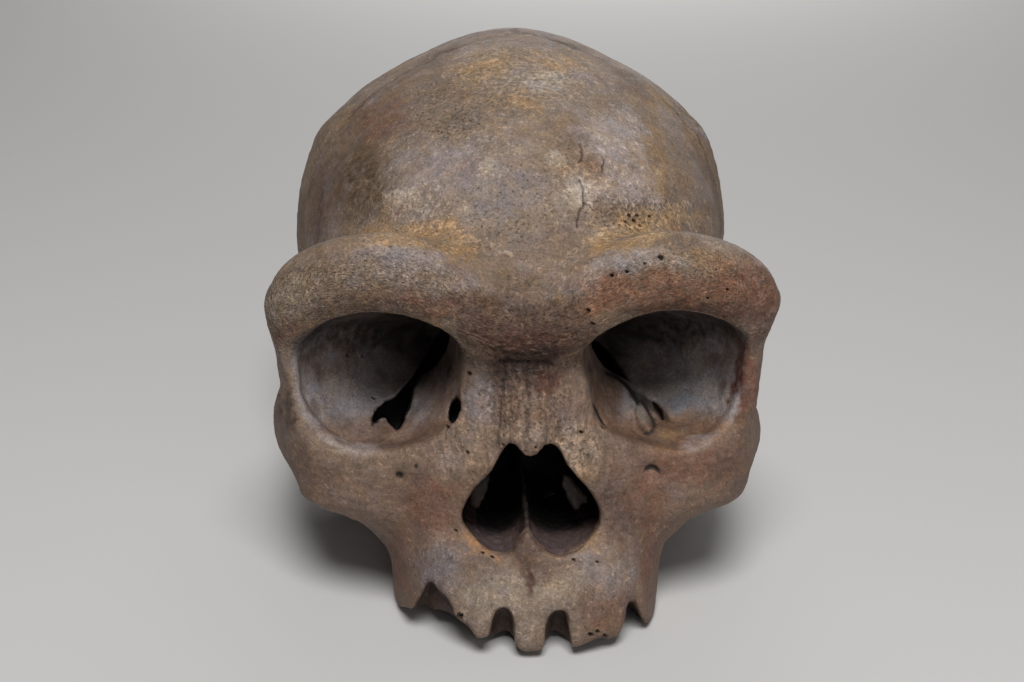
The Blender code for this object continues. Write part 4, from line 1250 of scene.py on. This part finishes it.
def hollow_colours(places, colours):
    """Grey walls in the eye sockets, and painted shade: darker in their upper parts and deeper in, and
    near-black at their backs, in their fissures and pits and deep in the nose.
    """
    x, y, z = places.mirrored.T
    points, nose = places.points, places.nose
    low = ramp(8, 1, z)
    walls = layered(np.tile(GREY, (len(x), 1)), (CHEEK_BROWN, 0.8 * ramp(34, 22, x) + 0.9 * low),
                    (ORANGE, 0.4 * low * ramp(10, 30, points[:, 0])))
    walls = walls * (1 + 0.14 * rough(points, (2.5, 4, 5), 62) + 0.25 * rough(points, 9, 63))[:, None]
    # The umber is a stain. The deep umber is painted shade, darker towards the top under the brow and deeper
    # in.
    walls = layered(walls, (UMBER, 0.6 * ramp(0.1, 0.7, rough(points, 7, 65))),
                    (DEEP_UMBER, ramp(23, 36, z) * 0.85), (DEEP_UMBER, ramp(34, 48, y) * 0.6))
    colours = mixed(colours, stained(places, walls, ORBIT_PATCHES), places.orbit[:, None])
    # Painted shade in the nose: it darkens deeper in and turns near-black at its back and down the passage
    # behind it. The brown on its floor is its own colour.
    mottled = 0.35 + 0.65 * ramp(-0.3, 0.4, rough(points, 3, 67))
    passage = ramp(24, 32, y) * (y < 90) * (x < 15) * (z < 2) * (z > -38)
    colours = layered(colours, (DEEP_UMBER, nose * ramp(6, 13, y)),
                      (NOSE_BROWN, 0.9 * nose * ramp(-24, -28, z) * (y < 60)),
                      (SHADE_BLACK, nose * mottled * ramp(13, 17, y) * ramp(-27, -22, z)),
                      (SHADE_BLACK, passage))
    # Painted shade: near-black inside the fissures, the slots at the backs of the eye sockets and the
    # tear-duct pits, and along the right eye socket's fissure and loop.
    edge = 0.8
    for outline, near in ((LEFT_FISSURE, 27), (LEFT_APEX, 44), (RIGHT_APEX, 44), (LEFT_TEAR_PIT, 15),
                          (RIGHT_TEAR_SLIT, 15)):
        inside = outline_distance(places.u, places.v, outline) < edge
        colours = layered(colours, (SHADE_BLACK, inside * ramp(near, near + 4, y) * (y < 70)))
    for line, half, strength in ((RIGHT_FISSURE, 3, 1), (RIGHT_RECESS, 6, 0.75), (RIGHT_LOOP, 2.6, 0.9),
                                 (RIGHT_LOOP_START, 2.0, 0.35)):
        near = places.near_line([point[:2] for point in line])
        colours = layered(colours, (SHADE_BLACK, strength * ramp(half, 0.35 * half, near) * places.orbit))
    return colours


def colours_with_painted_light(places):
    """The colour of each point of the surface, with painted light and shade."""
    points = places.points
    x, y, z = points.T
    colours = stained(places, ground_colours(places), FOREHEAD_PATCHES)
    colours = stained(places, colours, BROW_PATCHES)
    colours = stained(places, colours, FACE_PATCHES)
    nasal = ramp(40, 22, y) * ramp(26, 14, z)
    nasal *= ramp(30, 20, np.abs(x)) * ramp(-20, -6, z)
    uneven = 1 + 0.16 * rough(points, 5, 64) + 0.13 * rough(points, 1.6, 66)
    uneven *= 1 + 0.28 * nasal * streaks(points)
    spots = 0.4 * ramp(0.75, 1.05, rough(points, 1.5, 70))
    colours = layered(colours * uneven[:, None], (DEEP_UMBER, spots))
    # Painted light and shade on the brow: lighter on the crests of its grain and darker in its hollows, and
    # lighter all over its front to make up for the shade of its bumps.
    grain = np.clip(brow_grain(places) / 0.5, -1, 1)
    colours = colours * (1 + 0.4 * grain + 0.5 * places.brow)[:, None]
    colours = layered(hollow_colours(places, colours), (DEEP_UMBER, 0.6 * vault_seams(places)))
    for near in places.near_cracks():
        colours = layered(colours, (PIT_BROWN, 0.75 * np.exp(-(near / CRACK_HALF_WIDTH) ** 2)))
    for depth, near in zip(SEAM_DEPTHS, places.near_seams()):
        colours = layered(colours, (DEEP_UMBER, 1.2 * depth * np.exp(-(near / SEAM_STAIN) ** 2)))
    for u, v, radius in PORES:
        share = ramp(4.2 * radius, 1.6 * radius, places.near_pore(u, v))
        colours = layered(colours, (PIT_BROWN, 0.9 * share))
    # Painted shade: near-black inside the holes below the eye sockets.
    for outline in CHEEK_HOLES:
        inside = ramp(1.0, -0.5, outline_distance(places.u, places.v, outline))
        colours = layered(colours, (SHADE_BLACK, 0.9 * inside * places.seen))
    # Painted shade inside the broken tooth sockets, behind the face.
    behind = ramp(1, 3, y - face_front(x, z)) * (y < 26)
    for _, outline in GUM_BREAKS:
        opened = outline_distance(x, z + BREAK_SLOPE * y, outline) < 0.6
        colours = layered(colours, (DEEP_UMBER, 0.9 * opened * behind))
    middle = (colours @ BRIGHTNESS)[:, None] * MIDDLE_HUE
    return np.clip(DIMMED * (middle + HUE_SPREAD * (colours - middle)), 0.004, 0.8)


# The bone's surface


class Nodes:
    """Shorthand for adding and joining the nodes of a material."""

    def __init__(self, tree):
        self.tree = tree

    def feed(self, socket, value):
        if isinstance(value, bpy.types.NodeSocket):
            self.tree.links.new(value, socket)
        else:
            socket.default_value = value

    def put(self, kind, output, *inputs, settings=(), **named):
        """Adds a node, feeds its inputs by their order and by name, and gives one of its outputs."""
        node = self.tree.nodes.new("ShaderNode" + kind)
        for name, value in settings:
            setattr(node, name, value)
        for socket, value in zip(node.inputs, inputs):
            self.feed(socket, value)
        for name, value in named.items():
            self.feed(node.inputs[name], value)
        return node.outputs[output]

    def attribute(self, name, output):
        return self.put("Attribute", output, settings=[("attribute_name", name)])

    def ranged(self, value, low, high, to_low, to_high):
        return self.put("MapRange", "Result", value, low, high, to_low, to_high)

    def maths(self, operation, *values):
        return self.put("Math", "Value", *values, settings=[("operation", operation)])

    def vectors(self, operation, *inputs, **named):
        return self.put("VectorMath", "Vector", *inputs, settings=[("operation", operation)], **named)

    def product(self, first, *others):
        for other in others:
            first = self.maths("MULTIPLY", first, other)
        return first

    def one_plus(self, value, share):
        return self.maths("MULTIPLY_ADD", value, share, 1.0)

    def flecks(self, grain, crowd):
        """1 where grain rises above a level that falls as the crowd grows."""
        return self.ranged(self.maths("MULTIPLY_ADD", crowd, 0.2, grain), 0.62, 0.75, 0.0, 1.0)

    def stretched(self, vector, scale):
        return self.put("Mapping", "Vector", Vector=vector, Scale=scale)

    def noise(self, vector, scale, detail=3.0, roughness=0.6):
        return self.put("TexNoise", "Fac", Vector=vector, Scale=scale, Detail=detail, Roughness=roughness)


def bone_material():
    """Stained, dull bone: the stains and the painted light and shade come with the surface; the specks, the
    finest grain and the painted light and shade on the brow's ridges come from here.
    """
    material = bpy.data.materials.new("fossil_bone")
    material.use_nodes = True
    shader = material.node_tree.nodes["Principled BSDF"]
    nodes = Nodes(material.node_tree)
    place = nodes.put("TexCoord", "Object")
    flow = nodes.attribute("flow", "Vector")
    brow = nodes.attribute("brow", "Fac")
    crowd = nodes.attribute("crowd", "Vector")
    specks = nodes.noise(place, 1500.0)
    blotches = nodes.noise(place, 420.0, 4.0, 0.65)
    hues = nodes.ranged(nodes.noise(place, 150.0, 4.0, 0.6), 0.3, 0.7, -1.0, 1.0)
    ridges = nodes.noise(nodes.stretched(flow, (0.85, 1.5, 2.2)), 1.0, 3.0, 0.65)
    dimples = nodes.put("TexVoronoi", "Distance", Vector=nodes.stretched(flow, (0.7, 0.9, 1.2)), Scale=1.0)
    pale = nodes.flecks(nodes.noise(place, 700.0), nodes.put("SeparateXYZ", "X", crowd))
    dark_grain = nodes.noise(nodes.stretched(place, (1.0, 1.0, 1.25)), 900.0, 4.0, 0.7)
    dark = nodes.flecks(dark_grain, nodes.put("SeparateXYZ", "Y", crowd))

    # On the brow the colour follows the ridges of the bump, lighter on their crests and darker between them:
    # painted light and shade.
    bright = nodes.product(
        nodes.ranged(specks, 0.3, 0.7, 0.7, 1.3), nodes.ranged(blotches, 0.3, 0.7, 0.82, 1.18),
        nodes.one_plus(nodes.ranged(ridges, 0.3, 0.7, -0.38, 0.3), brow),
        nodes.one_plus(pale, 0.62), nodes.one_plus(dark, -0.6))
    hue = nodes.put("CombineXYZ", "Vector", nodes.one_plus(hues, 0.07), 1.0, nodes.one_plus(hues, -0.14))
    tint = nodes.vectors("MULTIPLY", nodes.attribute("stain_and_painted_light", "Color"), hue)
    nodes.feed(shader.inputs["Base Color"], nodes.vectors("SCALE", tint, Scale=bright))
    nodes.feed(shader.inputs["Roughness"], nodes.ranged(blotches, 0.3, 0.7, 0.52, 0.8))
    shader.inputs["Specular IOR Level"].default_value = 0.4

    bumps = {}
    for height, distance, strength in (
            (specks, 0.00025, 0.6), (blotches, 0.0005, 0.5),
            (nodes.maths("SUBTRACT", pale, dark), 0.00022, 0.6),
            (nodes.product(ridges, brow), 0.0026, 1.0), (nodes.product(dimples, brow), 0.0005, 0.7)):
        bumps["Normal"] = nodes.put("Bump", "Normal", Height=height, Distance=distance, Strength=strength,
                                    **bumps)
    nodes.feed(shader.inputs["Normal"], bumps["Normal"])
    return material


# Each piece takes what is left of the surface between two heights and in front of a depth
FACE_BACK = 46.0
ENDLESS = 999
REGIONS = [
    ("cranium_brow", 24, 60, FACE_BACK), ("cranium_cheeks", -10, 24, FACE_BACK),
    ("cranium_jaw", -ENDLESS, -10, FACE_BACK), ("cranium_forehead", 60, ENDLESS, 92),
    ("cranium_sides", -ENDLESS, ENDLESS, 122), ("cranium_back", -ENDLESS, ENDLESS, ENDLESS)]


def rest_pose(points):
    """The move from the skull's own frame, in millimetres, to where the solid stands, in metres."""
    turn = Matrix.Rotation(-math.radians(REST_TILT), 4, "X")
    turned = points @ np.array(turn.to_3x3()).T * MM
    low, high = turned.min(0), turned.max(0)
    cad_low, cad_high = CAD_BOX
    shift = [(cad_low[i] + cad_high[i] - low[i] - high[i]) / 2 for i in (0, 1)]
    return Matrix.Translation((*shift, -low[2] - WORN_DEPTH * MM)) @ turn


def bone_piece(name, points, triangles, at_points, material):
    """One part of the surface as a piece, shaded with the whole surface's normals."""
    used, corners = np.unique(triangles, return_inverse=True)
    mesh = mesh_from(name, points[used], corners.reshape(-1, 3))
    mesh.shade_smooth()
    here = {kind: values[used].astype(np.float32) for kind, values in at_points.items()}
    stain_and_painted_light = mesh.color_attributes.new("stain_and_painted_light", "FLOAT_COLOR", "POINT")
    stain_and_painted_light.data.foreach_set("color", np.hstack([here["stain_and_painted_light"], np.ones((len(used), 1), np.float32)]).ravel())
    for kind, form, field in (("flow", "FLOAT_VECTOR", "vector"), ("crowd", "FLOAT_VECTOR", "vector"),
                              ("brow", "FLOAT", "value")):
        mesh.attributes.new(kind, form, "POINT").data.foreach_set(field, here[kind].ravel())
    mesh.normals_split_custom_set_from_vertices(at_points["normal"][used].tolist())
    mesh.materials.append(material)
    piece = bpy.data.objects.new(name, mesh)
    bpy.context.scene.collection.objects.link(piece)
    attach(piece, "root")
    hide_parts("cranium")


def lining(vault, points):
    """Which points line the space for the brain."""
    along = (np.abs(points[:, 0]), points[:, 1], points[:, 2])
    cells = [np.clip(np.round((values - axis[0]) / vault.step).astype(int), 0, len(axis) - 1)
             for axis, values in zip(vault.axes, along)]
    return vault.field[tuple(cells)] < -BONE_WALL / 2


def thinned_surface(skull):
    """The surface of the field, with most triangles spent where the photo looks."""
    vault_step, lining_kept, rear_kept = 3.0, 0.03, 0.5
    points, triangles = surface_of(skull)
    vault = Volume(HALF_LOW, HALF_HIGH, vault_step)
    braincase(vault)
    points, triangles = thinned(points, triangles, lining(vault, points), lining_kept)
    rear = (points[:, 1] > FACE_BACK + vault_step) & ~lining(vault, points)
    points, triangles = thinned(points, triangles, rear, rear_kept)
    for zone in (fine_zone, finest_zone):
        points, triangles = refined(points, triangles, zone(points, triangles))
    return points, triangles


def cranium():
    """The whole bone as pieces. Gives the pose that they stand in."""
    skull = skull_field(SAMPLE_STEP)
    fine_forms(skull)
    skull.field = softened(skull.field)
    points, triangles = thinned_surface(skull)
    places = Places(points, triangles)
    at_points = {"stain_and_painted_light": colours_with_painted_light(places), "crowd": fleck_crowds(places), "flow": flow_of(places),
                 "brow": places.brow}
    points = leaned(points + places.normals * relief(places)[:, None])
    pose = rest_pose(points)
    turn = np.array(pose @ Matrix.Scale(MM, 4))
    points = points @ turn[:3, :3].T + turn[:3, 3]
    points[:, 2] = np.maximum(points[:, 2], 0)
    at_points["normal"] = normals_of(points, triangles)
    _, y, z = places.points[triangles].mean(1).T
    material = bone_material()
    left = np.ones(len(triangles), bool)
    for name, low, high, back in REGIONS:
        taken = left & (z >= low) & (z < high) & (y < back)
        bone_piece(name, points, triangles[taken], at_points, material)
        left &= ~taken
    return pose


# The studio


def floor():
    bpy.ops.mesh.primitive_plane_add(size=14.0, location=(0, 0, 0))
    plane = bpy.context.active_object
    plane.name = "floor"
    material = bpy.data.materials.new("pale_floor")
    material.use_nodes = True
    shader = material.node_tree.nodes["Principled BSDF"]
    shader.inputs["Base Color"].default_value = (0.56, 0.55, 0.535, 1)
    shader.inputs["Roughness"].default_value = 0.85
    plane.data.materials.append(material)


def softbox(name, place, aim, size, power):
    light = bpy.data.lights.new(name, "AREA")
    light.shape = "DISK"
    light.size = size
    light.energy = power
    lamp = bpy.data.objects.new(name, light)
    bpy.context.scene.collection.objects.link(lamp)
    lamp.location = place
    lamp.rotation_euler = (Vector(place) - Vector(aim)).to_track_quat("Z", "Y").to_euler()


def studio():
    aim = (0, -0.04, 0.08)
    softbox("key", (0.0, -0.7, 1.2), aim, 0.6, 16.5)
    softbox("fill", (0.45, -1.1, 0.4), aim, 0.9, 2.2)
    softbox("back", (0.15, 1.4, 0.55), aim, 1.0, 7.0)
    world = bpy.data.worlds.new("studio")
    bpy.context.scene.world = world
    world.use_nodes = True
    background = world.node_tree.nodes["Background"]
    background.inputs["Color"].default_value = (0.9, 0.93, 1.0, 1)
    background.inputs["Strength"].default_value = 0.08


def camera(pose):
    place, right, up, forward = (Vector(v) for v in view_axes())
    data = bpy.data.cameras.new("camera")
    data.sensor_width = SENSOR
    data.lens = FOCAL_PIXELS / PHOTO_WIDTH * SENSOR
    view = Matrix((right, up, -forward)).transposed().to_4x4()
    view.translation = place * MM
    seen = bpy.data.objects.new("camera", data)
    seen.matrix_world = pose @ view
    bpy.context.scene.collection.objects.link(seen)
    bpy.context.scene.camera = seen


def main():
    pose = cranium()
    floor()
    studio()
    camera(pose)
    bpy.context.scene.view_settings.view_transform = "Standard"


main()
